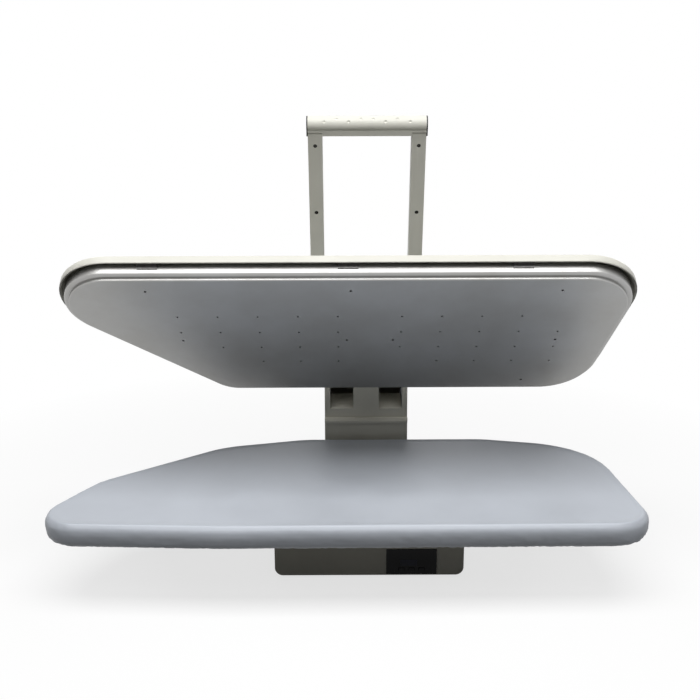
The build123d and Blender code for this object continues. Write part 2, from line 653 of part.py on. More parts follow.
# Rear fittings: cord gland, mains switch frame and its rocker
with BuildPart() as cord_gland:
    with BuildSketch(Plane.XZ.offset(-BASE_REAR_Y)):
        with Locations((GLAND_X, FITTING_Z)):
            Circle(GLAND_FLANGE)
    extrude(amount=-REAR_PROUD)
    with BuildSketch(Plane.XZ.offset(-BASE_REAR_Y)):
        with Locations((GLAND_X, FITTING_Z)):
            Circle(GLAND_RADIUS)
    extrude(amount=GLAND_LENGTH - REAR_PROUD)
    with BuildSketch(Plane.XZ.offset(-BASE_REAR_Y - REAR_PROUD)):
        with Locations((GLAND_X, FITTING_Z)):
            Circle(GLAND_BORE)
    extrude(amount=GLAND_LENGTH, mode=Mode.SUBTRACT)
save(cord_gland, "cord_gland")

ROCKER_SINK = ROCKER_CROWN + REAR_PROUD / 2
with BuildPart() as switch_frame:
    with BuildSketch(Plane.XZ.offset(-BASE_REAR_Y)):
        with Locations((SWITCH_X, FITTING_Z)):
            Rectangle(SWITCH_FRAME_WIDTH, SWITCH_FRAME_HEIGHT)
    extrude(amount=-REAR_PROUD)
    with BuildSketch(Plane.XZ.offset(-BASE_REAR_Y)):
        with Locations((SWITCH_X, FITTING_Z)):
            Rectangle(SWITCH_BODY_WIDTH, SWITCH_BODY_HEIGHT)
    extrude(amount=SWITCH_BODY_DEPTH)
    with BuildSketch(Plane.XZ.offset(-BASE_REAR_Y - REAR_PROUD)):
        with Locations((SWITCH_X, FITTING_Z)):
            Rectangle(ROCKER_WIDTH + 2 * ROCKER_GAP, 2 * (ROCKER_RADIUS + ROCKER_GAP))
    extrude(amount=REAR_PROUD + ROCKER_SINK + ROCKER_RADIUS + ROCKER_GAP, mode=Mode.SUBTRACT)
save(switch_frame, "switch_frame")

with BuildPart() as power_rocker:
    rocker_plane = Plane(
        origin=(SWITCH_X - ROCKER_WIDTH / 2, BASE_REAR_Y - ROCKER_SINK, FITTING_Z),
        x_dir=(0, 1, 0), z_dir=(1, 0, 0),
    ).rotated((ROCKER_TILT, 0, 0))
    with BuildSketch(rocker_plane):
        Circle(ROCKER_RADIUS)
        with BuildLine():
            crown = ROCKER_CROWN + REAR_PROUD / 2
            drop = ROCKER_RADIUS * sin(radians(ROCKER_TILT))
            Polyline(
                (-ROCKER_RADIUS, -ROCKER_RADIUS), (crown + drop, -ROCKER_RADIUS), (crown, 0),
                (crown + drop, ROCKER_RADIUS), (-ROCKER_RADIUS, ROCKER_RADIUS), close=True,
            )
        make_face(mode=Mode.INTERSECT)
    extrude(amount=ROCKER_WIDTH)
save(power_rocker, "power_rocker")

# Board: pan, perforated plate, foam and cover
POSTS = [
    (AXIS_X + side * (BASE_WIDTH / 2 - POST_INSET), y)
    for side in (-1, 1)
    for y in (BASE_FRONT_Y + POST_INSET, BOARD_REAR_Y - 2 * POST_INSET)
]
PAN_LOW_RADIUS = COVER_LOW_RADIUS - COVER_THICKNESS


def rounded_board(inset, low, high, low_radius, top_radius=0.0):
    """The board's outline drawn in by inset, between two heights, with its edges rounded."""
    with BuildPart() as block:
        with BuildSketch(Plane.XY.offset(low)):
            board_outline(-inset)
        extrude(amount=high - low)
        fillet(block.faces().sort_by(Axis.Z)[0].edges(), low_radius)
        if top_radius:
            fillet(block.faces().sort_by(Axis.Z)[-1].edges(), top_radius)
    return block.part


pan_block = rounded_board(PAN_GAP, PAN_LOW_Z, PAN_TOP_Z, PAN_LOW_RADIUS)
pan_space = rounded_board(PAN_GAP + SHEET, PAN_LOW_Z + SHEET, PAN_TOP_Z + OVERRUN, PAN_LOW_RADIUS - SHEET)
with BuildPart() as board_pan:
    add(pan_block)
    add(pan_space, mode=Mode.SUBTRACT)
save(board_pan, "board_pan")

with BuildPart() as board_plate:
    with BuildSketch(Plane.XY.offset(PAN_TOP_Z)):
        board_outline(-PAN_GAP)
    extrude(amount=SHEET)
    with BuildSketch(Plane.XY.offset(PAN_TOP_Z)):
        with Locations((AXIS_X, FRONT_Y + BOARD_DEPTH / 2)):
            with GridLocations(PERFORATION_PITCH, PERFORATION_PITCH, PERFORATION_COLUMNS, PERFORATION_ROWS):
                Circle(PERFORATION_RADIUS)
    extrude(amount=SHEET, mode=Mode.SUBTRACT)
save(board_plate, "board_plate")

COVER_SKIN = COVER_THICKNESS + RUN
with BuildPart() as pad_foam:
    with BuildSketch(Plane.XY.offset(FOAM_LOW_Z)):
        board_outline(-COVER_SKIN)
    extrude(amount=FOAM_THICKNESS)
    fillet(pad_foam.faces().sort_by(Axis.Z)[-1].edges(), COVER_TOP_RADIUS - COVER_SKIN - RUN)
save(pad_foam, "pad_foam")

cover_block = rounded_board(0, COVER_LOW_Z, BOARD_TOP_Z, COVER_LOW_RADIUS, COVER_TOP_RADIUS)
cover_space = rounded_board(COVER_THICKNESS, COVER_LOW_Z + COVER_THICKNESS, BOARD_TOP_Z - COVER_THICKNESS,
                            PAN_LOW_RADIUS, COVER_TOP_RADIUS - COVER_THICKNESS)
with BuildPart() as board_cover:
    add(cover_block)
    add(cover_space, mode=Mode.SUBTRACT)
    with BuildSketch(Plane.XY.offset(COVER_LOW_Z)):
        board_outline(-COVER_HEM)
    extrude(amount=COVER_THICKNESS, mode=Mode.SUBTRACT)
save(board_cover, "board_cover")

with BuildPart() as board_posts:
    with BuildSketch(Plane.XY.offset(BASE_TOP_Z)):
        with Locations(*POSTS):
            Circle(POST_RADIUS)
    extrude(amount=PAN_LOW_Z - BASE_TOP_Z)
save(board_posts, "board_posts")

# Column: lower block with its lip, upper housing with two slots, and the rear cover
COLUMN_BACK_Y = BASE_REAR_Y - COLUMN_WALL
COLUMN_UPPER_Y = COLUMN_FRONT_Y + COLUMN_STEP


def column_plan(front_y, half, rear_y):
    """Draws the column's plan between its front and rear."""
    span_box((AXIS_X - half, front_y), (AXIS_X + half, rear_y))


LIP_FRONT = COLUMN_FRONT_Y - LIP_PROUD - HINGE_Y
with BuildPart() as column_block:
    with BuildSketch(Plane.XY.offset(BASE_TOP_Z)):
        column_plan(COLUMN_FRONT_Y, COLUMN_HALF, COLUMN_BACK_Y)
    extrude(amount=LIP_LOW_Z - BASE_TOP_Z)
    with BuildSketch(Plane.XY.offset(LIP_LOW_Z)):
        column_plan(COLUMN_FRONT_Y - LIP_PROUD, COLUMN_HALF, COLUMN_BACK_Y)
    extrude(amount=LIP_TOP_Z - LIP_LOW_Z)
    column_corners = column_block.edges().filter_by(Axis.Z).sort_by(Axis.Y)[:4]
    fillet(column_corners, COLUMN_CORNER)
    with BuildSketch(side_plane(AXIS_X)):
        with BuildLine():
            Polyline((LIP_FRONT, LIP_TOP_Z - LIP_BEVEL - HINGE_Z), (LIP_FRONT + LIP_BEVEL, LIP_TOP_Z - HINGE_Z),
                     (LIP_FRONT, LIP_TOP_Z - HINGE_Z), close=True)
        make_face()
    extrude(amount=COLUMN_HALF, both=True, mode=Mode.SUBTRACT)
    with BuildSketch(Plane.XY.offset(BASE_TOP_Z)):
        column_plan(COLUMN_UPPER_Y + COLUMN_WALL, COLUMN_HALF - COLUMN_WALL, COLUMN_BACK_Y + OVERRUN)
    extrude(amount=LIP_TOP_Z - BASE_TOP_Z, mode=Mode.SUBTRACT)
save(column_block, "column_block")

SLOT_HALVES = [
    (AXIS_X + side * ARM_MIDDLE, ARM_WIDTH + 2 * SLOT_GAP) for side in (-1, 1)
]
POCKET_INNER = ARM_INNER - SLOT_GAP - POCKET_WALL
POCKET_FRONT = COLUMN_UPPER_Y + COLUMN_WALL / 2 - HINGE_Y
POCKET_DROP = HUB_RADIUS + POCKET_HUB_GAP
with BuildPart() as column_housing:
    with BuildSketch(Plane.XY.offset(LIP_TOP_Z)):
        column_plan(COLUMN_UPPER_Y, COLUMN_HALF, COLUMN_BACK_Y)
    extrude(amount=COLUMN_TOP_Z - LIP_TOP_Z)
    fillet(column_housing.edges().filter_by(Axis.Z).sort_by(Axis.Y)[:2], COLUMN_CORNER)
    roof_edges = column_housing.faces().sort_by(Axis.Z)[-1].edges().sort_by(Axis.Y)[:-1]
    fillet(roof_edges, COLUMN_CORNER - RUN)
    with BuildSketch(Plane.XY.offset(LIP_TOP_Z)):
        column_plan(COLUMN_UPPER_Y + COLUMN_WALL, COLUMN_HALF - COLUMN_WALL, COLUMN_BACK_Y + OVERRUN)
    extrude(amount=COLUMN_TOP_Z - COLUMN_WALL - LIP_TOP_Z, mode=Mode.SUBTRACT)
    with BuildSketch(Plane.XY.offset(HINGE_Z - SLOT_SILL_DROP)):
        for slot_x, slot_width in SLOT_HALVES:
            span_box((slot_x - slot_width / 2, COLUMN_UPPER_Y - OVERRUN),
                     (slot_x + slot_width / 2, HINGE_Y - SLOT_BACK))
    extrude(amount=SLOT_SILL_DROP + COLUMN_CREST, mode=Mode.SUBTRACT)
    for side in (-1, 1):
        with BuildSketch(side_plane(AXIS_X + side * POCKET_INNER)):
            with BuildLine():
                Polyline((POCKET_FRONT, -SLOT_SILL_DROP), (-POCKET_BACK, -POCKET_DROP),
                         (-POCKET_BACK, -POCKET_DROP - POCKET_WALL),
                         (POCKET_FRONT, -SLOT_SILL_DROP - POCKET_WALL), close=True)
            make_face()
        extrude(amount=side * (ARM_WIDTH + 2 * SLOT_GAP + POCKET_WALL))
        with BuildSketch(side_plane(AXIS_X + side * POCKET_INNER)):
            span_box((POCKET_FRONT, -SLOT_SILL_DROP - POCKET_WALL), (-POCKET_BACK, COLUMN_CREST - COLUMN_WALL))
        extrude(amount=side * POCKET_WALL)
    with BuildSketch(side_plane(AXIS_X)):
        Circle(SHAFT_RADIUS + SHAFT_PASS)
    extrude(amount=COLUMN_WIDTH, both=True, mode=Mode.SUBTRACT)
save(column_housing, "column_housing")

with BuildPart() as column_back:
    with BuildSketch(Plane.XZ.offset(-BASE_REAR_Y)):
        span_box((AXIS_X - COLUMN_HALF, BASE_TOP_Z), (AXIS_X + COLUMN_HALF, COLUMN_TOP_Z))
    extrude(amount=COLUMN_WALL)
    with BuildSketch(Plane.XZ.offset(-BASE_REAR_Y)):
        with Locations((AXIS_X, COLUMN_TOP_Z - VENT_DROP)):
            with GridLocations(VENT_WIDTH, VENT_PITCH, 1, VENT_COUNT):
                SlotOverall(VENT_WIDTH, VENT_HEIGHT)
    extrude(amount=COLUMN_WALL, mode=Mode.SUBTRACT)
save(column_back, "column_back")

# Hinge bracket, shaft, stop rod, springs and spacers
STOP_LEVEL = ARM_TOP + RUN + STOP_RADIUS


def ring_pair(inner, outer, radius, bore):
    """Two rings about the hinge axis, one each side of the column's middle."""
    with BuildPart() as rings:
        for side in (-1, 1):
            with BuildSketch(side_plane(AXIS_X + side * inner)):
                Circle(radius)
                Circle(bore, mode=Mode.SUBTRACT)
            extrude(amount=side * (outer - inner))
    return rings.part


with BuildPart() as hinge_bracket:
    for side in (-1, 1):
        with BuildSketch(side_plane(AXIS_X + side * BRACKET_OUTER)):
            Circle(BRACKET_EYE)
            span_box((BRACKET_BACK - BRACKET_DEPTH, CHASSIS_TOP_Z - HINGE_Z),
                     (BRACKET_BACK, CHASSIS_TOP_Z + BRACKET_EYE - HINGE_Z))
            make_hull()
        extrude(amount=-side * BRACKET_SHEET)
        with BuildSketch(side_plane(AXIS_X + side * BRACKET_OUTER, OPEN_ANGLE)):
            with Locations((-STOP_OUT, STOP_LEVEL)):
                Circle(STOP_EYE)
        extrude(amount=-side * BRACKET_SHEET)
    with BuildSketch(Plane.XY.offset(CHASSIS_TOP_Z)):
        span_box((AXIS_X - BRACKET_OUTER, BRACKET_FRONT_Y), (AXIS_X + BRACKET_OUTER, BRACKET_REAR_Y))
    extrude(amount=BRACKET_SHEET)
    with BuildSketch(side_plane(AXIS_X)):
        Circle(SHAFT_RADIUS + FIT)
    extrude(amount=BRACKET_OUTER + OVERRUN, both=True, mode=Mode.SUBTRACT)
    with BuildSketch(side_plane(AXIS_X, OPEN_ANGLE)):
        with Locations((-STOP_OUT, STOP_LEVEL)):
            Circle(STOP_RADIUS + FIT)
    extrude(amount=BRACKET_OUTER + OVERRUN, both=True, mode=Mode.SUBTRACT)
save(hinge_bracket, "hinge_bracket")

with BuildPart() as hinge_shaft:
    with BuildSketch(side_plane(AXIS_X)):
        Circle(SHAFT_RADIUS)
    extrude(amount=SHAFT_HALF, both=True)
save(hinge_shaft, "hinge_shaft")

with BuildPart() as stop_rod:
    with BuildSketch(side_plane(AXIS_X, OPEN_ANGLE)):
        with Locations((-STOP_OUT, STOP_LEVEL)):
            Circle(STOP_RADIUS)
    extrude(amount=BRACKET_OUTER, both=True)
save(stop_rod, "stop_rod")

with BuildPart() as lift_springs:
    add(ring_pair(SPRING_INNER, ARM_INNER - SPRING_END_GAP, SPRING_RADIUS, SHAFT_RADIUS + SPRING_CLEARANCE))
save(lift_springs, "lift_springs")

with BuildPart() as hub_spacers:
    add(ring_pair(ARM_OUTER + RUN, BRACKET_OUTER - BRACKET_SHEET - RUN, SPACER_RADIUS, SHAFT_RADIUS + FIT))
save(hub_spacers, "hub_spacers")

with BuildPart() as pivot_washers:
    washer_inner = COLUMN_HALF + RUN / 2
    add(ring_pair(washer_inner, washer_inner + WASHER_THICKNESS, WASHER_RADIUS, SHAFT_RADIUS + FIT))
save(pivot_washers, "pivot_washers")

# Heated plate: pressed face inside a rounded wall, steam holes and screw holes
STEAM_MIDDLE_X = AXIS_X + STEAM_SHIFT_X
STEAM_HOLES = []
for row, (left_count, right_first, right_end) in enumerate(STEAM_ROWS):
    hole_y = PLATE_FRONT + STEAM_SETBACK + row * STEAM_PITCH_Y
    for column in range(left_count):
        STEAM_HOLES.append((STEAM_MIDDLE_X - STEAM_FIRST_X - column * STEAM_PITCH_X, hole_y))
    for column in range(right_first, right_end):
        STEAM_HOLES.append((STEAM_MIDDLE_X + STEAM_FIRST_X + column * STEAM_PITCH_X, hole_y))
PLATE_SCREWS = [plate_place(*share) for share in PLATE_SCREW_SHARES]
HEAD_UP = Axis(origin=(0, HINGE_Y, HINGE_Z), direction=head().z_dir)

with BuildPart() as heat_plate:
    with BuildSketch(head(FACE_LEVEL + FACE_STEP)):
        plate_outline()
    extrude(amount=PLATE_HEIGHT - FACE_STEP)
    fillet(heat_plate.faces().sort_by(HEAD_UP)[0].edges(), WALL_LOW_RADIUS)
    with BuildSketch(head(FACE_LEVEL)):
        plate_outline(-FACE_INSET)
    extrude(amount=FACE_STEP + FACE_RADIUS)
    fillet(heat_plate.faces().sort_by(HEAD_UP)[0].edges(), FACE_RADIUS)
    with BuildSketch(head(FLOOR_LEVEL)):
        plate_outline(-PLATE_WALL)
    extrude(amount=PLATE_HEIGHT, mode=Mode.SUBTRACT)
    with BuildSketch(head(FACE_LEVEL)):
        with Locations(*STEAM_HOLES):
            Circle(STEAM_RADIUS)
        with Locations(*PLATE_SCREWS):
            Circle(SCREW_RADIUS + FIT)
    extrude(amount=PLATE_FLOOR, mode=Mode.SUBTRACT)
save(heat_plate, "heat_plate")

with BuildPart() as plate_screws:
    with BuildSketch(head(FACE_LEVEL + SCREW_SINK)):
        with Locations(*PLATE_SCREWS):
            Circle(SCREW_RADIUS)
    extrude(amount=PLATE_FLOOR + CHAMBER_HEIGHT - RUN - SCREW_SINK)
save(plate_screws, "plate_screws")

with BuildPart() as steam_chamber:
    with BuildSketch(head(FLOOR_LEVEL)):
        plate_outline(-CHAMBER_INSET)
    extrude(amount=CHAMBER_HEIGHT)
    with BuildSketch(head(FLOOR_LEVEL)):
        plate_outline(-CHAMBER_INSET - CHAMBER_WALL)
    extrude(amount=CHAMBER_HEIGHT - CHAMBER_WALL, mode=Mode.SUBTRACT)
    with BuildSketch(head(FLOOR_LEVEL)):
        with Locations(*PLATE_SCREWS):
            Circle(SCREW_RADIUS + FIT)
    extrude(amount=CHAMBER_HEIGHT, mode=Mode.SUBTRACT)
save(steam_chamber, "steam_chamber")

HEATER_POINTS = [plate_place(*share) for share in HEATER_SHARES]
heater_plane = head(FLOOR_LEVEL + HEATER_RADIUS + RUN / 2)
with BuildPart() as heater_element:
    with BuildLine(heater_plane) as heater_path:
        FilletPolyline(*HEATER_POINTS, radius=HEATER_BEND)
    with BuildSketch(heater_path.line ^ 0):
        Circle(HEATER_RADIUS)
    sweep()
save(heater_element, "heater_element")

# Frame that carries the plate, hung from the shell's ceiling
CROSSES = [
    (plate_place(left, place), plate_place(right, place))
    for left, right, place in (FRONT_CROSS_SHARES, REAR_CROSS_SHARES)
]
LEGS = [
    (x + side * CROSS_WIDTH / 2, y)
    for (left_end, right_end) in CROSSES
    for (x, y), side in ((left_end, 1), (right_end, -1))
]
BOLTS = [(AXIS_X + side * ARM_MIDDLE, inset - ARM_FRONT_OUT) for side in (-1, 1) for inset in BOLT_INSETS]
RAIL_FRONT = PLATE_FRONT + RAIL_FRONT_INSET
RAIL_REAR = PLATE_REAR - RAIL_REAR_INSET
PUMP_Y = (CROSSES[0][0][1] + CROSSES[1][0][1]) / 2
PUMP_PLACE = (PUMP_MIDDLE, PUMP_Y)
HOSE_X = PUMP_MIDDLE - PUMP_LENGTH / 2 - HOSE_RUN
THERMOSTAT_PLACE = (AXIS_X + THERMOSTAT_OFFSET, PUMP_Y)

with BuildPart() as head_frame:
    with BuildSketch(head(FRAME_LEVEL)):
        for (left_end, right_end) in CROSSES:
            span_box((left_end[0], left_end[1] - CROSS_WIDTH / 2),
                     (right_end[0], right_end[1] + CROSS_WIDTH / 2))
        with Locations(*[(AXIS_X + side * ARM_MIDDLE, (RAIL_FRONT + RAIL_REAR) / 2) for side in (-1, 1)]):
            Rectangle(RAIL_WIDTH, RAIL_REAR - RAIL_FRONT)
    extrude(amount=FRAME_THICKNESS)
    with BuildSketch(head(CHAMBER_LEVEL)):
        with Locations(*LEGS):
            Circle(FRAME_LEG_RADIUS)
    extrude(amount=FRAME_LEVEL - CHAMBER_LEVEL)
    with BuildSketch(head(FRAME_LEVEL)):
        with Locations(*BOLTS):
            Circle(BOLT_RADIUS + FIT)
    extrude(amount=FRAME_THICKNESS, mode=Mode.SUBTRACT)
save(head_frame, "head_frame")

with BuildPart() as insulation_blanket:
    with BuildSketch(head(CHAMBER_LEVEL)):
        plate_outline(-BLANKET_INSET)
        with Locations(*LEGS):
            Circle(FRAME_LEG_RADIUS + RUN, mode=Mode.SUBTRACT)
        with Locations((HOSE_X, PUMP_Y)):
            Circle(HOSE_RADIUS + RUN, mode=Mode.SUBTRACT)
        with Locations(THERMOSTAT_PLACE):
            Circle(THERMOSTAT_RADIUS + RUN, mode=Mode.SUBTRACT)
    extrude(amount=BLANKET_THICKNESS)
save(insulation_blanket, "insulation_blanket")

with BuildPart() as thermostat:
    with BuildSketch(head(CHAMBER_LEVEL)):
        with Locations(THERMOSTAT_PLACE):
            Circle(THERMOSTAT_RADIUS)
    extrude(amount=THERMOSTAT_HEIGHT)
save(thermostat, "thermostat")

with BuildPart() as steam_pump:
    with BuildSketch(head(PUMP_LEVEL)):
        with Locations(PUMP_PLACE):
            RectangleRounded(PUMP_LENGTH, PUMP_WIDTH, PUMP_HEIGHT / 4)
    extrude(amount=PUMP_HEIGHT)
save(steam_pump, "steam_pump")


def head_point(x, y, level):
    """A point in the room from a place on the head's plane at a level."""
    return head(level).from_local_coords(Vector(x, y, 0))


with BuildPart() as steam_hose:
    with BuildLine() as steam_path:
        FilletPolyline(
            head_point(PUMP_MIDDLE - PUMP_LENGTH / 2, PUMP_Y, PUMP_PORT_LEVEL),
            head_point(HOSE_X, PUMP_Y, PUMP_PORT_LEVEL),
            head_point(HOSE_X, PUMP_Y, CHAMBER_LEVEL),
            radius=HOSE_BEND,
        )
    with BuildSketch(steam_path.line ^ 0):
        Circle(HOSE_RADIUS)
    sweep()
save(steam_hose, "steam_hose")

with BuildPart() as feed_hose:
    with BuildLine() as feed_path:
        FilletPolyline(
            head_point(AXIS_X, PUMP_Y, SHELL_LEVEL),
            head_point(AXIS_X, PUMP_Y, PUMP_PORT_LEVEL),
            head_point(PUMP_MIDDLE + PUMP_LENGTH / 2, PUMP_Y, PUMP_PORT_LEVEL),
            radius=HOSE_BEND,
        )
    with BuildSketch(feed_path.line ^ 0):
        Circle(HOSE_RADIUS)
    sweep()
save(feed_hose, "feed_hose")

# Head shell: upright rim, sloped shoulder and flat top
SLOPE = (SHELL_TOP - RIM_HIGH) / SHELL_SLOPE_RUN
INNER_DROP = SHELL_WALL * (1 + SLOPE**2) ** 0.5
INNER_TOP_GROW = SHELL_GROW - SHELL_SLOPE_RUN + (SHELL_WALL - INNER_DROP) / SLOPE
INNER_START = RIM_HIGH + SHELL_WALL * SLOPE - INNER_DROP


def shell_block(rim_grow, top_grow, low, shoulder, top):
    """The head's outside or inside: a straight band, then a sloped shoulder up to the flat top."""
    with BuildPart() as block:
        with BuildSketch(head(FACE_LEVEL + low)):
            plate_outline(rim_grow)
        extrude(amount=top - low)
        roof = block.faces().sort_by(HEAD_UP)[-1]
        chamfer(roof.edges(), length=rim_grow - top_grow, length2=top - shoulder, reference=roof)
    return block.part


shell_outside = shell_block(SHELL_GROW, SHELL_GROW - SHELL_SLOPE_RUN, RIM_LOW, RIM_HIGH, SHELL_TOP)
shell_inside = shell_block(SHELL_GAP, INNER_TOP_GROW, RIM_LOW - OVERRUN, INNER_START, SHELL_TOP - SHELL_WALL)
with BuildPart() as head_shell:
    add(shell_outside)
    add(shell_inside, mode=Mode.SUBTRACT)
    with BuildSketch(head(CEILING_LEVEL)):
        with Locations(*BOLTS):
            Circle(BOLT_RADIUS + FIT)
        with Locations((AXIS_X, PUMP_Y)):
            Circle(HOSE_RADIUS + RUN)
    extrude(amount=SHELL_WALL, mode=Mode.SUBTRACT)
save(head_shell, "head_shell")

# Clips that bridge the gap between the plate's wall and the rim at the front
with BuildPart() as plate_clips:
    for share in CLIP_SHARES:
        clip_x = PLATE_CENTRE_X + share * PLATE_WIDTH
        with BuildSketch(head(FACE_LEVEL + RIM_LOW)):
            span_box((clip_x - CLIP_WIDTH / 2, PLATE_FRONT - SHELL_GAP + FIT),
                     (clip_x + CLIP_WIDTH / 2, PLATE_FRONT - FIT))
        extrude(amount=SHEET)
        with BuildSketch(head(FACE_LEVEL + RIM_LOW)):
            span_box((clip_x - CLIP_WIDTH / 2, PLATE_FRONT - SHEET - FIT),
                     (clip_x + CLIP_WIDTH / 2, PLATE_FRONT - FIT))
        extrude(amount=-CLIP_DROP)
save(plate_clips, "plate_clips")

# Head arms, their bolts and bushes
with BuildPart() as head_arms:
    for side in (-1, 1):
        with BuildSketch(side_plane(AXIS_X + side * ARM_INNER, OPEN_ANGLE)):
            with BuildLine():
                Polyline(
                    (0, ARM_TOP), (-ARM_BACK_OUT, 0), (-ARM_FRONT_OUT, SHELL_LEVEL + ARM_FRONT_RISE),
                    (-ARM_FRONT_OUT, SHELL_LEVEL), (-ARM_HEEL_OUT, SHELL_LEVEL),
                    (-ARM_KNEE_OUT, -ARM_KNEE_DROP), (0, -ARM_BOTTOM), close=True,
                )
            make_face()
            Circle(HUB_RADIUS)
            Circle(BUSH_RADIUS + FIT, mode=Mode.SUBTRACT)
        extrude(amount=side * (ARM_OUTER - ARM_INNER))
    with BuildSketch(head(SHELL_LEVEL)):
        with Locations(*BOLTS):
            Circle(BOLT_RADIUS + FIT)
    extrude(amount=BOLT_SEAT, mode=Mode.SUBTRACT)
    with BuildSketch(head(SHELL_LEVEL + BOLT_SEAT)):
        with Locations(*BOLTS):
            Circle(BOLT_HEAD_RADIUS + RUN)
    extrude(amount=ARM_KNEE_DROP, mode=Mode.SUBTRACT)
save(head_arms, "head_arms")

with BuildPart() as arm_bolts:
    with BuildSketch(head(SHELL_LEVEL + BOLT_SEAT)):
        with Locations(*BOLTS):
            RegularPolygon(BOLT_HEAD_RADIUS, 6)
    extrude(amount=BOLT_HEAD_HEIGHT)
    with BuildSketch(head(FRAME_LEVEL)):
        with Locations(*BOLTS):
            Circle(BOLT_RADIUS)
    extrude(amount=SHELL_LEVEL + BOLT_SEAT - FRAME_LEVEL)
save(arm_bolts, "arm_bolts")

with BuildPart() as hinge_bushes:
    add(ring_pair(ARM_INNER, ARM_OUTER, BUSH_RADIUS, SHAFT_RADIUS + FIT))
save(hinge_bushes, "hinge_bushes")

# Tank, its cap and the dock that it stands in
DOCK_GROW = DOCK_GAP + DOCK_WALL
with BuildPart() as tank_dock:
    with BuildSketch(head(SHELL_LEVEL)):
        with Locations((AXIS_X, TANK_MIDDLE)):
            RectangleRounded(TANK_WIDTH + 2 * DOCK_GROW, TANK_LENGTH + 2 * DOCK_GROW, TANK_CORNER + DOCK_GROW)
    extrude(amount=DOCK_RIM)
    with BuildSketch(head(DOCK_LEVEL)):
        with Locations((AXIS_X, TANK_MIDDLE)):
            RectangleRounded(TANK_WIDTH + 2 * DOCK_GAP, TANK_LENGTH + 2 * DOCK_GAP, TANK_CORNER + DOCK_GAP)
    extrude(amount=DOCK_RIM, mode=Mode.SUBTRACT)
save(tank_dock, "tank_dock")

with BuildPart() as water_tank:
    with BuildSketch(head(TANK_LEVEL)):
        with Locations((AXIS_X, TANK_MIDDLE)):
            RectangleRounded(TANK_WIDTH, TANK_LENGTH, TANK_CORNER)
    extrude(amount=TANK_HEIGHT)
    fillet(water_tank.faces().sort_by(HEAD_UP)[-1].edges(), TANK_EDGE)
    with BuildSketch(head(TANK_LEVEL + TANK_WALL)):
        with Locations((AXIS_X, TANK_MIDDLE)):
            RectangleRounded(TANK_WIDTH - 2 * TANK_WALL, TANK_LENGTH - 2 * TANK_WALL, TANK_CORNER - TANK_WALL)
    extrude(amount=TANK_HEIGHT - 2 * TANK_WALL, mode=Mode.SUBTRACT)
    with BuildSketch(head(TANK_LEVEL + TANK_HEIGHT)):
        with Locations((AXIS_X, TANK_MIDDLE + NECK_SHIFT)):
            Circle(NECK_RADIUS)
    extrude(amount=-2 * TANK_WALL, mode=Mode.SUBTRACT)
save(water_tank, "water_tank")

with BuildPart() as tank_cap:
    with BuildSketch(head(TANK_LEVEL + TANK_HEIGHT + RUN)):
        with Locations((AXIS_X, TANK_MIDDLE + NECK_SHIFT)):
            Circle(CAP_RADIUS)
    extrude(amount=CAP_HEIGHT)
    fillet(tank_cap.faces().sort_by(HEAD_UP)[-1].edges(), CAP_EDGE)
    with BuildSketch(head(TANK_LEVEL + TANK_HEIGHT + RUN)):
        with Locations((AXIS_X, TANK_MIDDLE + NECK_SHIFT)):
            Circle(NECK_RADIUS - RUN)
    extrude(amount=-CAP_PLUG)
save(tank_cap, "tank_cap")

# Handle arms: a lower and an upper cover round a steel bar, on each side
HANDLE_SCREWS = [
    (AXIS_X + side * ARM_COVER_MIDDLE, inset - ARM_SEAM) for side in (-1, 1) for inset in HANDLE_SCREW_INSETS
]


def arm_block(inset):
    """Both arms as plain bars with a round pivot end, drawn in by inset on every side."""
    half = ARM_HALF - inset
    stretches = (
        (ARM_COVER_RELIEF + inset, 0.0, ARM_RELIEF_LENGTH, True),
        (ARM_COVER_INNER + inset, ARM_RELIEF_LENGTH - 2 * inset, ARM_SEAM - inset, False),
    )
    with BuildPart() as block:
        for side in (-1, 1):
            for inner, near, far, has_eye in stretches:
                with BuildSketch(side_plane(AXIS_X + side * inner, HANDLE_ANGLE)):
                    span_box((-far, -half), (-near, half))
                    if has_eye:
                        Circle(half)
                extrude(amount=side * (ARM_COVER_OUTER - inset - inner))
    return block.part


def bar_pair(gap, far):
    """Both arms' steel bars, grown all round by gap, from the hinge axis out to far."""
    width = BAR_WIDTH + 2 * gap
    with BuildPart() as bars:
        for side in (-1, 1):
            with BuildSketch(side_plane(AXIS_X + side * (ARM_COVER_MIDDLE - width / 2), HANDLE_ANGLE)):
                span_box((-far, -BAR_HALF - gap), (0, BAR_HALF + gap))
            extrude(amount=side * width)
    return bars.part


arms_outside = arm_block(0)
arms_inside = arm_block(ARM_COVER_WALL)
bar_passage = bar_pair(RUN, ARM_SEAM + OVERRUN)


with BuildPart() as handle_lower_covers:
    add(arms_outside)
    add(arms_inside, mode=Mode.SUBTRACT)
    add(bar_passage, mode=Mode.SUBTRACT)
    split(bisect_by=handle(), keep=Keep.BOTTOM)
    with BuildSketch(handle(-ARM_HALF)):
        with Locations(*HANDLE_SCREWS):
            Circle(HANDLE_BOSS_RADIUS)
    extrude(amount=ARM_HALF - HANDLE_BOSS_END)
    with BuildSketch(handle(-ARM_HALF)):
        with Locations(*HANDLE_SCREWS):
            Circle(HANDLE_SCREW_HEAD + RUN)
    extrude(amount=HANDLE_SCREW_SINK, mode=Mode.SUBTRACT)
    with BuildSketch(handle(-ARM_HALF)):
        with Locations(*HANDLE_SCREWS):
            Circle(HANDLE_SCREW_RADIUS + FIT)
    extrude(amount=ARM_HALF, mode=Mode.SUBTRACT)
    with BuildSketch(side_plane(AXIS_X)):
        Circle(SHAFT_RADIUS + SHAFT_PASS)
    extrude(amount=SHAFT_HALF, both=True, mode=Mode.SUBTRACT)
save(handle_lower_covers, "handle_lower_covers")

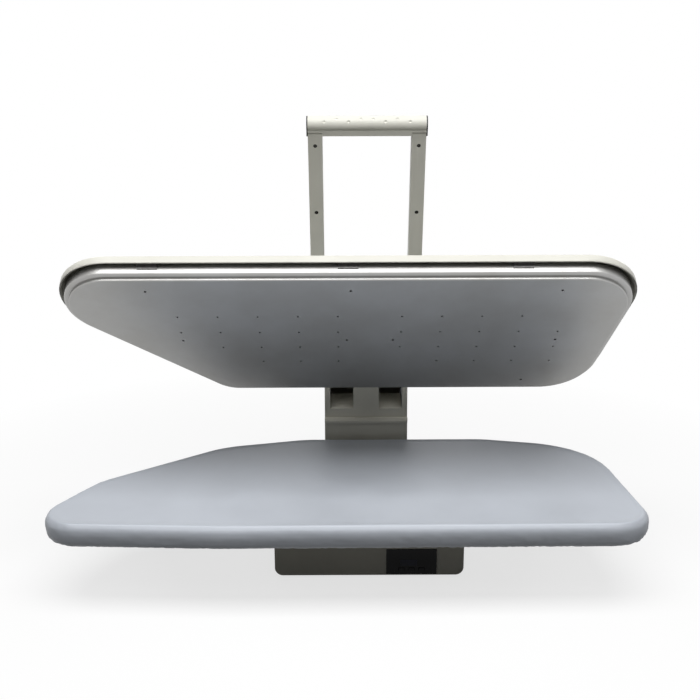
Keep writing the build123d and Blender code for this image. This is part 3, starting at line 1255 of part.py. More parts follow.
with BuildPart() as handle_upper_covers:
    add(arms_outside)
    add(arms_inside, mode=Mode.SUBTRACT)
    add(bar_passage, mode=Mode.SUBTRACT)
    split(bisect_by=handle(), keep=Keep.TOP)
    with BuildSketch(side_plane(AXIS_X)):
        Circle(SHAFT_RADIUS + SHAFT_PASS)
    extrude(amount=SHAFT_HALF, both=True, mode=Mode.SUBTRACT)
save(handle_upper_covers, "handle_upper_covers")

with BuildPart() as handle_frame:
    add(bar_pair(0, GRIP_AXIS))
    for side in (-1, 1):
        with BuildSketch(side_plane(AXIS_X + side * EYE_INNER, HANDLE_ANGLE)):
            Circle(EYE_RADIUS)
        extrude(amount=side * (EYE_OUTER - EYE_INNER))
    with BuildSketch(side_plane(AXIS_X, HANDLE_ANGLE)):
        with Locations((-GRIP_AXIS, 0)):
            Circle(ROD_RADIUS)
    extrude(amount=ARM_COVER_MIDDLE + BAR_WIDTH / 2, both=True)
    with BuildSketch(side_plane(AXIS_X)):
        Circle(HANDLE_BUSH_RADIUS + FIT)
    extrude(amount=EYE_OUTER, both=True, mode=Mode.SUBTRACT)
    with BuildSketch(handle()):
        with Locations(*HANDLE_SCREWS):
            Circle(HANDLE_SCREW_RADIUS + FIT)
    extrude(amount=BAR_HALF, both=True, mode=Mode.SUBTRACT)
save(handle_frame, "handle_frame")

with BuildPart() as handle_bushes:
    add(ring_pair(EYE_INNER, EYE_OUTER, HANDLE_BUSH_RADIUS, SHAFT_RADIUS + FIT))
save(handle_bushes, "handle_bushes")

HANDLE_HEAD_LEVEL = HANDLE_SCREW_SINK - ARM_HALF
with BuildPart() as handle_screws:
    with BuildSketch(handle(HANDLE_HEAD_LEVEL)):
        with Locations(*HANDLE_SCREWS):
            Circle(HANDLE_SCREW_HEAD)
    extrude(amount=-HANDLE_SCREW_HEAD_HEIGHT)
    with BuildSketch(handle(HANDLE_HEAD_LEVEL)):
        with Locations(*HANDLE_SCREWS):
            Circle(HANDLE_SCREW_RADIUS)
    extrude(amount=BAR_HALF - HANDLE_HEAD_LEVEL)
save(handle_screws, "handle_screws")

with BuildPart() as pivot_caps:
    for side in (-1, 1):
        with BuildSketch(side_plane(AXIS_X + side * ARM_COVER_OUTER, HANDLE_ANGLE)):
            Circle(PIVOT_CAP_RADIUS)
        extrude(amount=side * PIVOT_CAP_THICKNESS)
save(pivot_caps, "pivot_caps")


# Grip: round on top, straight-sided below, hollow, with eight dimples and the button's opening
def grip_section(inset):
    """Draws the grip's section about its axis, on a plane square to X."""
    with Locations((-GRIP_AXIS, 0)):
        Circle(GRIP_RADIUS - inset)
    span_box((-GRIP_AXIS, inset - GRIP_SKIRT), (GRIP_RADIUS - GRIP_AXIS - inset, GRIP_SKIRT - inset))


def dimple_place(number, side):
    """The middle of one dimple on the grip, alternately high and low from the middle outwards."""
    angle = radians(DIMPLE_HIGH_ANGLE if number % 2 == 0 else DIMPLE_LOW_ANGLE)
    reach = GRIP_RADIUS + DIMPLE_RADIUS - DIMPLE_DEPTH
    x = AXIS_X + side * (number + 0.5) * DIMPLE_PITCH
    return handle(-reach * cos(angle)).from_local_coords(Vector(x, -GRIP_AXIS - reach * sin(angle), 0))


DIMPLES = [dimple_place(number, side) for side in (-1, 1) for number in range(DIMPLES_A_SIDE)]
GRIP_BODY_HALF = GRIP_HALF - GRIP_CAP
with BuildPart() as grip:
    with BuildSketch(side_plane(AXIS_X, HANDLE_ANGLE)):
        grip_section(0)
    extrude(amount=GRIP_BODY_HALF, both=True)
    with BuildSketch(side_plane(AXIS_X, HANDLE_ANGLE)):
        grip_section(GRIP_WALL)
    extrude(amount=GRIP_BODY_HALF, both=True, mode=Mode.SUBTRACT)
    for side in (-1, 1):
        with BuildSketch(side_plane(AXIS_X + side * (ARM_COVER_INNER - RUN), HANDLE_ANGLE)):
            span_box((-ARM_SEAM - GRIP_SEAM_GAP, -GRIP_RADIUS), (-ARM_SEAM + GRIP_RADIUS, GRIP_RADIUS))
        extrude(amount=side * (GRIP_HALF - ARM_COVER_INNER + RUN), mode=Mode.SUBTRACT)
    with BuildSketch(handle()):
        with Locations((AXIS_X, -GRIP_AXIS)):
            SlotOverall(BUTTON_LENGTH + 2 * RUN, BUTTON_WIDTH + 2 * RUN)
    extrude(amount=GRIP_RADIUS, mode=Mode.SUBTRACT)
    with Locations(*DIMPLES):
        Sphere(DIMPLE_RADIUS, mode=Mode.SUBTRACT)
save(grip, "grip")

with BuildPart() as grip_caps:
    for side in (-1, 1):
        with BuildSketch(side_plane(AXIS_X + side * GRIP_BODY_HALF, HANDLE_ANGLE)):
            grip_section(0)
        extrude(amount=side * GRIP_CAP)
        with BuildSketch(side_plane(AXIS_X + side * GRIP_BODY_HALF, HANDLE_ANGLE)):
            with Locations((-GRIP_AXIS, 0)):
                Circle(GRIP_AXIS - ARM_SEAM - GRIP_SEAM_GAP)
        extrude(amount=-side * GRIP_CAP_PLUG)
save(grip_caps, "grip_caps")

with BuildPart() as steam_button:
    with BuildSketch(handle(BUTTON_BOTTOM)):
        with Locations((AXIS_X, -GRIP_AXIS)):
            SlotOverall(BUTTON_LENGTH, BUTTON_WIDTH)
    extrude(amount=BUTTON_TOP - BUTTON_BOTTOM)
    button_top = steam_button.faces().sort_by(Axis(origin=(0, 0, 0), direction=handle().z_dir))[-1]
    fillet(button_top.edges(), BUTTON_EDGE)
save(steam_button, "steam_button")

with BuildPart() as button_switch:
    with BuildSketch(handle(ROD_RADIUS - RUN)):
        with Locations((AXIS_X, -GRIP_AXIS)):
            Rectangle(BUTTON_SWITCH_LENGTH, BUTTON_SWITCH_WIDTH)
    extrude(amount=BUTTON_SWITCH_HEIGHT + RUN)
    with BuildSketch(side_plane(AXIS_X, HANDLE_ANGLE)):
        with Locations((-GRIP_AXIS, 0)):
            Circle(ROD_RADIUS + FIT)
    extrude(amount=BUTTON_SWITCH_LENGTH, both=True, mode=Mode.SUBTRACT)
save(button_switch, "button_switch")
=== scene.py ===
"""Looks of a steam ironing press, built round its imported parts.

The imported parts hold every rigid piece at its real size.  This script gives each of them its
finish, makes the soft pieces as meshes, and sets up the floor, the lamps and the camera.
Lengths are in metres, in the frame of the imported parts: +Z up, +Y to the rear, +X to the right.
"""
from __future__ import annotations

import json
import logging
import math
from dataclasses import dataclass, field, replace
from enum import Enum
from functools import cached_property

import bmesh
import bpy
from mathutils import Matrix, Vector
from mathutils.geometry import convex_hull_2d

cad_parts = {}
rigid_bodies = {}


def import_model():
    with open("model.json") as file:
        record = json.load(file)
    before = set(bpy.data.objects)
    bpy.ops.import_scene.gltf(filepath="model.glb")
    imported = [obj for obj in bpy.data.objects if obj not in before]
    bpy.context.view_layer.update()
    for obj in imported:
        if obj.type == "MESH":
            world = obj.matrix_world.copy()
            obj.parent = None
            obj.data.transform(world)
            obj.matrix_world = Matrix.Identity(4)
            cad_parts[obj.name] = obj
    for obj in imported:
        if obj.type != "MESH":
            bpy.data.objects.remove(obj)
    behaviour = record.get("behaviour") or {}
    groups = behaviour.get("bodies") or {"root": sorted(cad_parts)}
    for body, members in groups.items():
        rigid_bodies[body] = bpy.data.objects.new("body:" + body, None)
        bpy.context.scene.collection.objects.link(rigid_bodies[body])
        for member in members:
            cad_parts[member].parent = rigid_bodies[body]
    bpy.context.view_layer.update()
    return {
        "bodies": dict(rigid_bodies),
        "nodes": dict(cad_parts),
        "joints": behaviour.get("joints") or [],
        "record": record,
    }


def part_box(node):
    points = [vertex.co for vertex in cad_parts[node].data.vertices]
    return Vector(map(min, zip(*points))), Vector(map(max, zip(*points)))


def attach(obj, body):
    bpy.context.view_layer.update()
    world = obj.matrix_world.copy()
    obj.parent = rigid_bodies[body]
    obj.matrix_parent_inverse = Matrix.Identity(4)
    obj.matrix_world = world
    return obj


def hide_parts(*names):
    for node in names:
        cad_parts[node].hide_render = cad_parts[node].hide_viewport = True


LOG = logging.getLogger("ironing_press")
MM = 0.001
ARC_STEPS = 720
WELD_GAP_MM = 0.02
SEAM_GAP_MM = 0.01
EDGE_SEGMENTS = 3
EDGE_ANGLE = 38


def linear(hex_colour: str) -> tuple[float, float, float, float]:
    """Turns an sRGB hex colour into a linear one.

    Args:
        hex_colour: six hex digits.

    Returns:
        Linear red, green and blue, and full alpha.
    """
    shares = [int(hex_colour[at:at + 2], 16) / 255 for at in (0, 2, 4)]
    red, green, blue = (
        share / 12.92 if share <= 0.04045 else ((share + 0.055) / 1.055) ** 2.4 for share in shares
    )
    return red, green, blue, 1.0


def add_node(tree: bpy.types.NodeTree, kind: str, inputs: dict | None = None,
             **settings: object) -> bpy.types.Node:
    """Adds one node to a tree, sets it up and links it.

    Args:
        tree: the material's or the world's node tree.
        kind: the node type's name.
        inputs: values or output sockets, by the input's name or number.
        **settings: the node's own properties.

    Returns:
        The new node.
    """
    made = tree.nodes.new(kind)
    for name, value in settings.items():
        setattr(made, name, value)
    for key, value in (inputs or {}).items():
        if isinstance(value, bpy.types.NodeSocket):
            tree.links.new(value, made.inputs[key])
        else:
            made.inputs[key].default_value = value
    return made


def new_material(name: str) -> bpy.types.Material:
    """Returns a material with an empty node tree."""
    material = bpy.data.materials.new(name)
    material.use_nodes = True
    material.node_tree.nodes.clear()
    return material


def per_metre(size_mm: float) -> float:
    """Returns the scale at which a noise pattern's features are about size_mm across."""
    return 1 / (size_mm * MM)


class Slot(Enum):
    """The record's material slots."""

    CASING = "casing"
    HEAD_CASING = "head_casing"
    DARK_TRIM = "dark_trim"
    GLOSS_PANEL = "gloss_panel"
    DISPLAY_LENS = "display_lens"
    PRESS_PLATE = "press_plate"
    BOARD_SHEET = "board_sheet"
    COVER_CLOTH = "cover_cloth"
    FOAM = "foam"
    PLATED_STEEL = "plated_steel"
    SCREW_STEEL = "screw_steel"
    GROUND_STEEL = "ground_steel"
    SPRING_STEEL = "spring_steel"
    BUSH_BRONZE = "bush_bronze"
    BLANKET = "blanket"
    SILICONE = "silicone"
    FOOT_RUBBER = "foot_rubber"
    CIRCUIT = "circuit"
    TANK_PLASTIC = "tank_plastic"


@dataclass(frozen=True)
class MouldedPlastic:
    """A moulded thermoplastic, ABS unless its values say otherwise.

    Its skin copies a spark-eroded mould: a fine even grain that breaks the shine up, with faint
    clouds of tone where the melt flowed and where hands have been.
    """

    name: str
    colour: str
    shade: str
    roughness: float = 0.46
    ior: float = 1.53
    specular: float = 0.25
    grain_mm: float = 0.9  # real grain is 0.1 mm; drawn coarser, so that it shows
    grain_depth: float = 0.05
    cloud_mm: float = 90.0

    def material(self) -> bpy.types.Material:
        """Builds the material."""
        material = new_material(self.name)
        tree = material.node_tree
        place = add_node(tree, "ShaderNodeTexCoord").outputs["Object"]
        grain = add_node(tree, "ShaderNodeTexNoise",
                         {"Vector": place, "Scale": per_metre(self.grain_mm), "Detail": 3.0})
        cloud = add_node(tree, "ShaderNodeTexNoise",
                         {"Vector": place, "Scale": per_metre(self.cloud_mm), "Detail": 4.0})
        tone = add_node(tree, "ShaderNodeMapRange",
                        {"Value": cloud.outputs["Fac"], "From Min": 0.35, "From Max": 0.65})
        colour = add_node(tree, "ShaderNodeMix", {"Factor": tone.outputs["Result"], "A": linear(self.shade),
                                                  "B": linear(self.colour)}, data_type="RGBA")
        rough = add_node(tree, "ShaderNodeMapRange",
                         {"Value": cloud.outputs["Fac"], "From Min": 0.3, "From Max": 0.7,
                          "To Min": self.roughness - 0.05, "To Max": self.roughness + 0.05})
        bump = add_node(tree, "ShaderNodeBump",
                        {"Height": grain.outputs["Fac"], "Strength": 0.35,
                         "Distance": self.grain_depth * MM})
        skin = add_node(tree, "ShaderNodeBsdfPrincipled",
                        {"Base Color": colour.outputs["Result"], "Roughness": rough.outputs["Result"],
                         "IOR": self.ior, "Specular IOR Level": self.specular,
                         "Normal": bump.outputs["Normal"]})
        add_node(tree, "ShaderNodeOutputMaterial", {"Surface": skin.outputs["BSDF"]})
        return material


@dataclass(frozen=True)
class SatinAluminium:
    """Pressed aluminium sheet, rubbed along one axis and left bare.

    The rubbing blurs reflections into soft bands, and heat, lime and starch leave faint cloudy stains.
    """

    name: str
    colour: str
    stain: str
    roughness: float = 0.34
    line_mm: float = 0.5  # real lines are 0.05 mm apart; drawn coarser, so that they show
    run_mm: float = 45.0
    line_depth: float = 0.003
    cloud_mm: float = 130.0

    def material(self) -> bpy.types.Material:
        """Builds the material."""
        material = new_material(self.name)
        tree = material.node_tree
        place = add_node(tree, "ShaderNodeTexCoord").outputs["Object"]
        stretched = add_node(tree, "ShaderNodeMapping",
                             {"Vector": place, "Scale": (self.line_mm / self.run_mm, 1.0, 1.0)})
        lines = add_node(tree, "ShaderNodeTexNoise",
                         {"Vector": stretched.outputs["Vector"], "Scale": per_metre(self.line_mm),
                          "Detail": 3.0})
        cloud = add_node(tree, "ShaderNodeTexNoise",
                         {"Vector": place, "Scale": per_metre(self.cloud_mm), "Detail": 6.0,
                          "Roughness": 0.6})
        tone = add_node(tree, "ShaderNodeMapRange",
                        {"Value": cloud.outputs["Fac"], "From Min": 0.35, "From Max": 0.65})
        colour = add_node(tree, "ShaderNodeMix", {"Factor": tone.outputs["Result"], "A": linear(self.stain),
                                                  "B": linear(self.colour)}, data_type="RGBA")
        blur = add_node(tree, "ShaderNodeMapRange",
                        {"Value": lines.outputs["Fac"], "From Min": 0.3, "From Max": 0.7,
                         "To Min": self.roughness - 0.02, "To Max": self.roughness + 0.02})
        rough = add_node(tree, "ShaderNodeMath",
                         {0: cloud.outputs["Fac"], 1: 0.08, 2: blur.outputs["Result"]},
                         operation="MULTIPLY_ADD")
        bump = add_node(tree, "ShaderNodeBump",
                        {"Height": lines.outputs["Fac"], "Strength": 0.2, "Distance": self.line_depth * MM})
        skin = add_node(tree, "ShaderNodeBsdfPrincipled",
                        {"Base Color": colour.outputs["Result"], "Roughness": rough.outputs["Value"],
                         "Metallic": 1.0, "Normal": bump.outputs["Normal"]})
        add_node(tree, "ShaderNodeOutputMaterial", {"Surface": skin.outputs["BSDF"]})
        return material


@dataclass(frozen=True)
class WorkedMetal:
    """Steel or bronze as a screw, shaft, spring or bracket: plated, ground or drawn.

    Spangle or grinding breaks its reflections into small patches of differing tone.
    """

    name: str
    colour: str
    shade: str
    roughness: float
    patch_mm: float
    patch_depth: float = 0.02

    def material(self) -> bpy.types.Material:
        """Builds the material."""
        material = new_material(self.name)
        tree = material.node_tree
        place = add_node(tree, "ShaderNodeTexCoord").outputs["Object"]
        patches = add_node(tree, "ShaderNodeTexVoronoi",
                           {"Vector": place, "Scale": per_metre(self.patch_mm)})
        grit = add_node(tree, "ShaderNodeTexNoise",
                        {"Vector": place, "Scale": per_metre(self.patch_mm / 6), "Detail": 5.0})
        colour = add_node(tree, "ShaderNodeMix",
                          {"Factor": patches.outputs["Color"], "A": linear(self.shade),
                           "B": linear(self.colour)}, data_type="RGBA")
        rough = add_node(tree, "ShaderNodeMath",
                         {0: grit.outputs["Fac"], 1: 0.2, 2: self.roughness - 0.1},
                         operation="MULTIPLY_ADD")
        bump = add_node(tree, "ShaderNodeBump",
                        {"Height": grit.outputs["Fac"], "Strength": 0.3, "Distance": self.patch_depth * MM})
        skin = add_node(tree, "ShaderNodeBsdfPrincipled",
                        {"Base Color": colour.outputs["Result"], "Roughness": rough.outputs["Value"],
                         "Metallic": 1.0, "Normal": bump.outputs["Normal"]})
        add_node(tree, "ShaderNodeOutputMaterial", {"Surface": skin.outputs["BSDF"]})
        return material


@dataclass(frozen=True)
class SilveredCloth:
    """Plain-woven cotton with an aluminium coat, as on heat-proof board covers.

    The flakes lie over the threads, so it shines softly, goes bluish in the light, and each thread
    crossing still shows as a small bump.
    """

    name: str
    colour: str
    shade: str
    thread_mm: float = 0.8  # real threads are 0.4 mm apart; drawn coarser, so that they show
    thread_depth: float = 0.06
    pucker_mm: float = 26.0
    pucker_depth: float = 0.5

    def material(self) -> bpy.types.Material:
        """Builds the material."""
        material = new_material(self.name)
        tree = material.node_tree
        place = add_node(tree, "ShaderNodeTexCoord").outputs["Object"]
        wave_scale = math.pi / 10 * per_metre(self.thread_mm)  # a wave of scale 1 repeats every pi / 10
        warp = add_node(tree, "ShaderNodeTexWave",
                        {"Vector": place, "Scale": wave_scale, "Distortion": 0.4}, bands_direction="X")
        weft = add_node(tree, "ShaderNodeTexWave",
                        {"Vector": place, "Scale": wave_scale, "Distortion": 0.4}, bands_direction="Y")
        weave = add_node(tree, "ShaderNodeMath",
                         {0: warp.outputs["Fac"], 1: weft.outputs["Fac"]}, operation="MULTIPLY")
        pucker = add_node(tree, "ShaderNodeTexNoise",
                          {"Vector": place, "Scale": per_metre(self.pucker_mm), "Detail": 3.0})
        cloud = add_node(tree, "ShaderNodeTexNoise",
                         {"Vector": place, "Scale": per_metre(self.pucker_mm * 6), "Detail": 5.0})
        tone = add_node(tree, "ShaderNodeMapRange",
                        {"Value": cloud.outputs["Fac"], "From Min": 0.35, "From Max": 0.65})
        colour = add_node(tree, "ShaderNodeMix", {"Factor": tone.outputs["Result"], "A": linear(self.shade),
                                                  "B": linear(self.colour)}, data_type="RGBA")
        soft = add_node(tree, "ShaderNodeBump",
                        {"Height": pucker.outputs["Fac"], "Strength": 0.3,
                         "Distance": self.pucker_depth * MM})
        bump = add_node(tree, "ShaderNodeBump",
                        {"Height": weave.outputs["Value"], "Strength": 0.5,
                         "Distance": self.thread_depth * MM, "Normal": soft.outputs["Normal"]})
        rough = add_node(tree, "ShaderNodeMapRange",
                         {"Value": cloud.outputs["Fac"], "From Min": 0.3, "From Max": 0.7,
                          "To Min": 0.42, "To Max": 0.54})
        skin = add_node(tree, "ShaderNodeBsdfPrincipled",
                        {"Base Color": colour.outputs["Result"], "Roughness": rough.outputs["Result"],
                         "Metallic": 0.12, "Specular IOR Level": 0.35, "Sheen Weight": 0.05,
                         "Normal": bump.outputs["Normal"]})
        add_node(tree, "ShaderNodeOutputMaterial", {"Surface": skin.outputs["BSDF"]})
        return material


@dataclass(frozen=True)
class SoftFilling:
    """Open-cell polyurethane foam, ceramic-fibre felt, silicone hose or rubber.

    Cells, fibres or moulded skin pit the surface, and nothing shines much. The pits are painted darker in
    the shade colour, as painted shade.
    """

    name: str
    colour: str
    # the shade colour is painted into the cell pits, as painted shade
    shade: str
    roughness: float
    cell_mm: float
    cell_depth: float

    def material(self) -> bpy.types.Material:
        """Builds the material."""
        material = new_material(self.name)
        tree = material.node_tree
        place = add_node(tree, "ShaderNodeTexCoord").outputs["Object"]
        cells = add_node(tree, "ShaderNodeTexVoronoi", {"Vector": place, "Scale": per_metre(self.cell_mm)})
        # painted shade: the colour darkens towards the cell centres, where the bump puts the pits
        colour = add_node(tree, "ShaderNodeMix",
                          {"Factor": cells.outputs["Distance"], "A": linear(self.shade),
                           "B": linear(self.colour)}, data_type="RGBA")
        bump = add_node(tree, "ShaderNodeBump",
                        {"Height": cells.outputs["Distance"], "Strength": 0.6,
                         "Distance": self.cell_depth * MM})
        skin = add_node(tree, "ShaderNodeBsdfPrincipled",
                        {"Base Color": colour.outputs["Result"], "Roughness": self.roughness,
                         "Normal": bump.outputs["Normal"]})
        add_node(tree, "ShaderNodeOutputMaterial", {"Surface": skin.outputs["BSDF"]})
        return material


@dataclass(frozen=True)
class PolishedAcrylic:
    """Acrylic moulded in a polished tool: black or smoked, with a hard gloss and hair-fine wipe marks."""

    name: str
    colour: str
    shade: str
    roughness: float = 0.08
    ior: float = 1.49
    specular: float = 0.5
    transmission: float = 0.0
    mark_mm: float = 2.0

    def material(self) -> bpy.types.Material:
        """Builds the material."""
        material = new_material(self.name)
        tree = material.node_tree
        place = add_node(tree, "ShaderNodeTexCoord").outputs["Object"]
        stretched = add_node(tree, "ShaderNodeMapping", {"Vector": place, "Scale": (0.1, 1.0, 1.0)})
        marks = add_node(tree, "ShaderNodeTexNoise",
                         {"Vector": stretched.outputs["Vector"], "Scale": per_metre(self.mark_mm),
                          "Detail": 6.0})
        rough = add_node(tree, "ShaderNodeMapRange",
                         {"Value": marks.outputs["Fac"], "From Min": 0.3, "From Max": 0.75,
                          "To Min": self.roughness * 0.6, "To Max": self.roughness * 1.6})
        colour = add_node(tree, "ShaderNodeMix", {"Factor": marks.outputs["Fac"], "A": linear(self.shade),
                                                  "B": linear(self.colour)}, data_type="RGBA")
        skin = add_node(tree, "ShaderNodeBsdfPrincipled",
                        {"Base Color": colour.outputs["Result"], "Roughness": rough.outputs["Result"],
                         "IOR": self.ior, "Specular IOR Level": self.specular,
                         "Transmission Weight": self.transmission})
        add_node(tree, "ShaderNodeOutputMaterial", {"Surface": skin.outputs["BSDF"]})
        return material


@dataclass(frozen=True)
class CircuitBoard:
    """Glass-fibre laminate under green solder resist, with tinned pads and tracks."""

    name: str
    resist: str
    track: str
    track_mm: float = 3.0

    def material(self) -> bpy.types.Material:
        """Builds the material."""
        material = new_material(self.name)
        tree = material.node_tree
        place = add_node(tree, "ShaderNodeTexCoord").outputs["Object"]
        tracks = add_node(tree, "ShaderNodeTexBrick",
                          {"Vector": place, "Scale": per_metre(self.track_mm * 4),
                           "Color1": linear(self.resist), "Color2": linear(self.resist),
                           "Mortar": linear(self.track), "Mortar Size": 0.04})
        skin = add_node(tree, "ShaderNodeBsdfPrincipled",
                        {"Base Color": tracks.outputs["Color"], "Roughness": 0.3, "IOR": 1.55})
        add_node(tree, "ShaderNodeOutputMaterial", {"Surface": skin.outputs["BSDF"]})
        return material


FINISHES = {
    # painted shade: the base, column and tank dock casing is the head's plastic painted darker, B9B7AC
    # against DEDDD4
    Slot.CASING: MouldedPlastic("moulded_abs_base_painted_shade", "B9B7AC", "B2B0A5"),
    Slot.HEAD_CASING: MouldedPlastic("moulded_abs_head", "DEDDD4", "D8D7CD", roughness=0.4),
    Slot.DARK_TRIM: MouldedPlastic("moulded_nylon_black", "1E1E1F", "171718", roughness=0.55),
    Slot.GLOSS_PANEL: PolishedAcrylic("polished_acrylic_black", "08080A", "050506", specular=0.1),
    Slot.DISPLAY_LENS: PolishedAcrylic("polished_acrylic_smoked", "1E2133", "191C2C", roughness=0.12,
                                       specular=0.1),
    Slot.PRESS_PLATE: SatinAluminium("satin_aluminium_plate", "A9A9A8", "A09F9C"),
    Slot.BOARD_SHEET: SatinAluminium("mill_aluminium_sheet", "B8B8B8", "ACACAC", roughness=0.4),
    Slot.COVER_CLOTH: SilveredCloth("silvered_cotton_cover", "BFC4CC", "B6BBC3"),
    Slot.FOAM: SoftFilling("polyurethane_foam_pad", "D8CFA8", "C4B98E", 0.9, 1.5, 0.3),
    Slot.PLATED_STEEL: WorkedMetal("zinc_plated_steel", "B4B6B8", "A4A6A9", 0.36, 9.0),
    Slot.SCREW_STEEL: WorkedMetal("black_oxide_screw", "42413F", "343331", 0.42, 2.0),
    Slot.GROUND_STEEL: WorkedMetal("ground_steel_shaft", "B0B1B3", "A6A7A9", 0.2, 3.0),
    Slot.SPRING_STEEL: WorkedMetal("drawn_spring_steel", "6E6D6C", "5C5B5A", 0.34, 3.0),
    Slot.BUSH_BRONZE: WorkedMetal("sintered_bronze_bush", "A9804A", "94703F", 0.42, 1.2),
    Slot.BLANKET: SoftFilling("ceramic_fibre_felt", "EDEAE2", "D8D4CA", 0.95, 4.0, 0.8),
    Slot.SILICONE: SoftFilling("extruded_silicone_hose", "C9C7C0", "BDBBB3", 0.5, 0.8, 0.03),
    Slot.FOOT_RUBBER: SoftFilling("moulded_rubber_foot", "2A2A2A", "1E1E1E", 0.8, 1.0, 0.06),
    Slot.CIRCUIT: CircuitBoard("green_circuit_board", "1F5A38", "5F8F5C"),
    Slot.TANK_PLASTIC: PolishedAcrylic("blown_polycarbonate_tank", "B7C4CC", "AEBCC6", roughness=0.18,
                                       ior=1.58, transmission=0.75),
}


@dataclass
class Assembly:
    """A sub-assembly of the press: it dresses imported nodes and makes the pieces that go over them."""

    nodes: dict[str, bpy.types.Object]
    finishes: dict[Slot, bpy.types.Material]

    def dress(self, name: str, slot: Slot, edge_mm: float = 0.0) -> None:
        """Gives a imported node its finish, and breaks its sharp edges.

        Args:
            name: the node's name.
            slot: the finish.
            edge_mm: how wide its sharp edges are broken, zero for none.
        """
        node = self.nodes[name]
        if not node.material_slots:
            node.data.materials.append(None)
        for place in node.material_slots:
            place.material = self.finishes[slot]
        if edge_mm:
            weld = node.modifiers.new("close_seams", "WELD")
            weld.merge_threshold = SEAM_GAP_MM * MM
            bevel = node.modifiers.new("broken_edges", "BEVEL")
            bevel.width = edge_mm * MM
            bevel.segments = EDGE_SEGMENTS
            bevel.limit_method = "ANGLE"
            bevel.angle_limit = math.radians(EDGE_ANGLE)
            bevel.harden_normals = True
        LOG.info("dressed %s in %s", name, slot.value)

    def add_piece(self, name: str, mesh: bpy.types.Mesh, slot: Slot, body: str) -> bpy.types.Object:
        """Makes an object of a mesh, gives it its finish and lets it ride on a body.

        Args:
            name: the piece's name.
            mesh: its mesh, in the frame's coordinates.
            slot: its finish.
            body: the body that it moves with.

        Returns:
            The new object.
        """
        piece = bpy.data.objects.new(name, mesh)
        bpy.context.scene.collection.objects.link(piece)
        mesh.materials.append(self.finishes[slot])
        for face in mesh.polygons:
            face.use_smooth = True
        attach(piece, body)
        LOG.info("made %s with %d faces on %s", name, len(mesh.polygons), body)
        return piece


@dataclass
class Base(Assembly):
    """Base housing with its deck, feet, boards, control panel, cord gland and mains switch."""

    housing_edge: float = 0.5
    trim_edge: float = 0.4

    def build(self) -> None:
        """Dresses the base's nodes."""
        self.dress("base_housing", Slot.CASING, self.housing_edge)
        for name in ("base_deck", "chassis_plate"):
            self.dress(name, Slot.PLATED_STEEL)
        for name in ("deck_screws", "foot_screws"):
            self.dress(name, Slot.SCREW_STEEL)
        self.dress("rubber_feet", Slot.FOOT_RUBBER)
        for name in ("power_board", "control_board"):
            self.dress(name, Slot.CIRCUIT)
        self.dress("panel_bezel", Slot.GLOSS_PANEL, self.trim_edge)
        self.dress("display_lens", Slot.DISPLAY_LENS)
        for name in ("key_left", "key_middle", "key_right"):
            self.dress(name, Slot.GLOSS_PANEL)
        for name in ("cord_gland", "switch_frame", "power_rocker"):
            self.dress(name, Slot.DARK_TRIM, self.trim_edge)


def sample_hull(corners: list[tuple[float, float, float]], steps: int) -> list[Vector]:
    """Walks round the outline that wraps some circles.

    Args:
        corners: each circle's centre and radius, as (x, y, radius).
        steps: how many points to give, evenly spaced along the outline.

    Returns:
        Points on the outline, counterclockwise seen from above, from the leftmost point on.
    """
    rim = []
    for x, y, radius in corners:
        for turn in range(ARC_STEPS):
            angle = math.tau * turn / ARC_STEPS
            rim.append(Vector((x + radius * math.cos(angle), y + radius * math.sin(angle))))
    hull = [rim[at] for at in convex_hull_2d(rim)]
    area = sum(a.x * b.y - b.x * a.y for a, b in zip(hull, hull[1:] + hull[:1]))
    if area < 0:
        hull.reverse()
    start = min(range(len(hull)), key=lambda at: hull[at].x)
    hull = hull[start:] + hull[:start]
    lengths = [(b - a).length for a, b in zip(hull, hull[1:] + hull[:1])]
    step = sum(lengths) / steps
    points, at, left = [], 0, 0.0
    for _ in range(steps):
        while left > lengths[at]:
            left -= lengths[at]
            at += 1
        a, b = hull[at], hull[(at + 1) % len(hull)]
        points.append(a.lerp(b, left / lengths[at]))
        left += step
    return points


def ring_mesh(name: str, rings: list[list[Vector]], closed_start: bool = False,
              closed_end: bool = False) -> bpy.types.Mesh:
    """Makes a mesh of quads between closed rings of points.

    Args:
        name: the mesh's name.
        rings: loops of points, each with as many points as the others.
        closed_start: whether the first ring is filled with a face.
        closed_end: whether the last ring is filled with a face.

    Returns:
        The mesh.
    """
    shape = bmesh.new()
    made = [[shape.verts.new(point) for point in ring] for ring in rings]
    count = len(rings[0])
    for low, high in zip(made, made[1:]):
        for at in range(count):
            after = (at + 1) % count
            shape.faces.new((low[at], low[after], high[after], high[at]))
    if closed_start:
        shape.faces.new(list(reversed(made[0])))
    if closed_end:
        shape.faces.new(made[-1])
    bmesh.ops.remove_doubles(shape, verts=shape.verts, dist=WELD_GAP_MM * MM)
    bmesh.ops.recalc_face_normals(shape, faces=shape.faces)
    mesh = bpy.data.meshes.new(name)
    shape.to_mesh(mesh)
    shape.free()
    return mesh


@dataclass(frozen=True)
class Slack:
    """A stretch of the cover's side where the cloth is cut too long or pulled askew.

    Places are shares of the board's width from its middle; the extra is a share of the cloth's
    length, and the pull is how far the hem is dragged to the right, in millimetres.
    """

    place: float
    reach: float
    extra: float
    pull: float


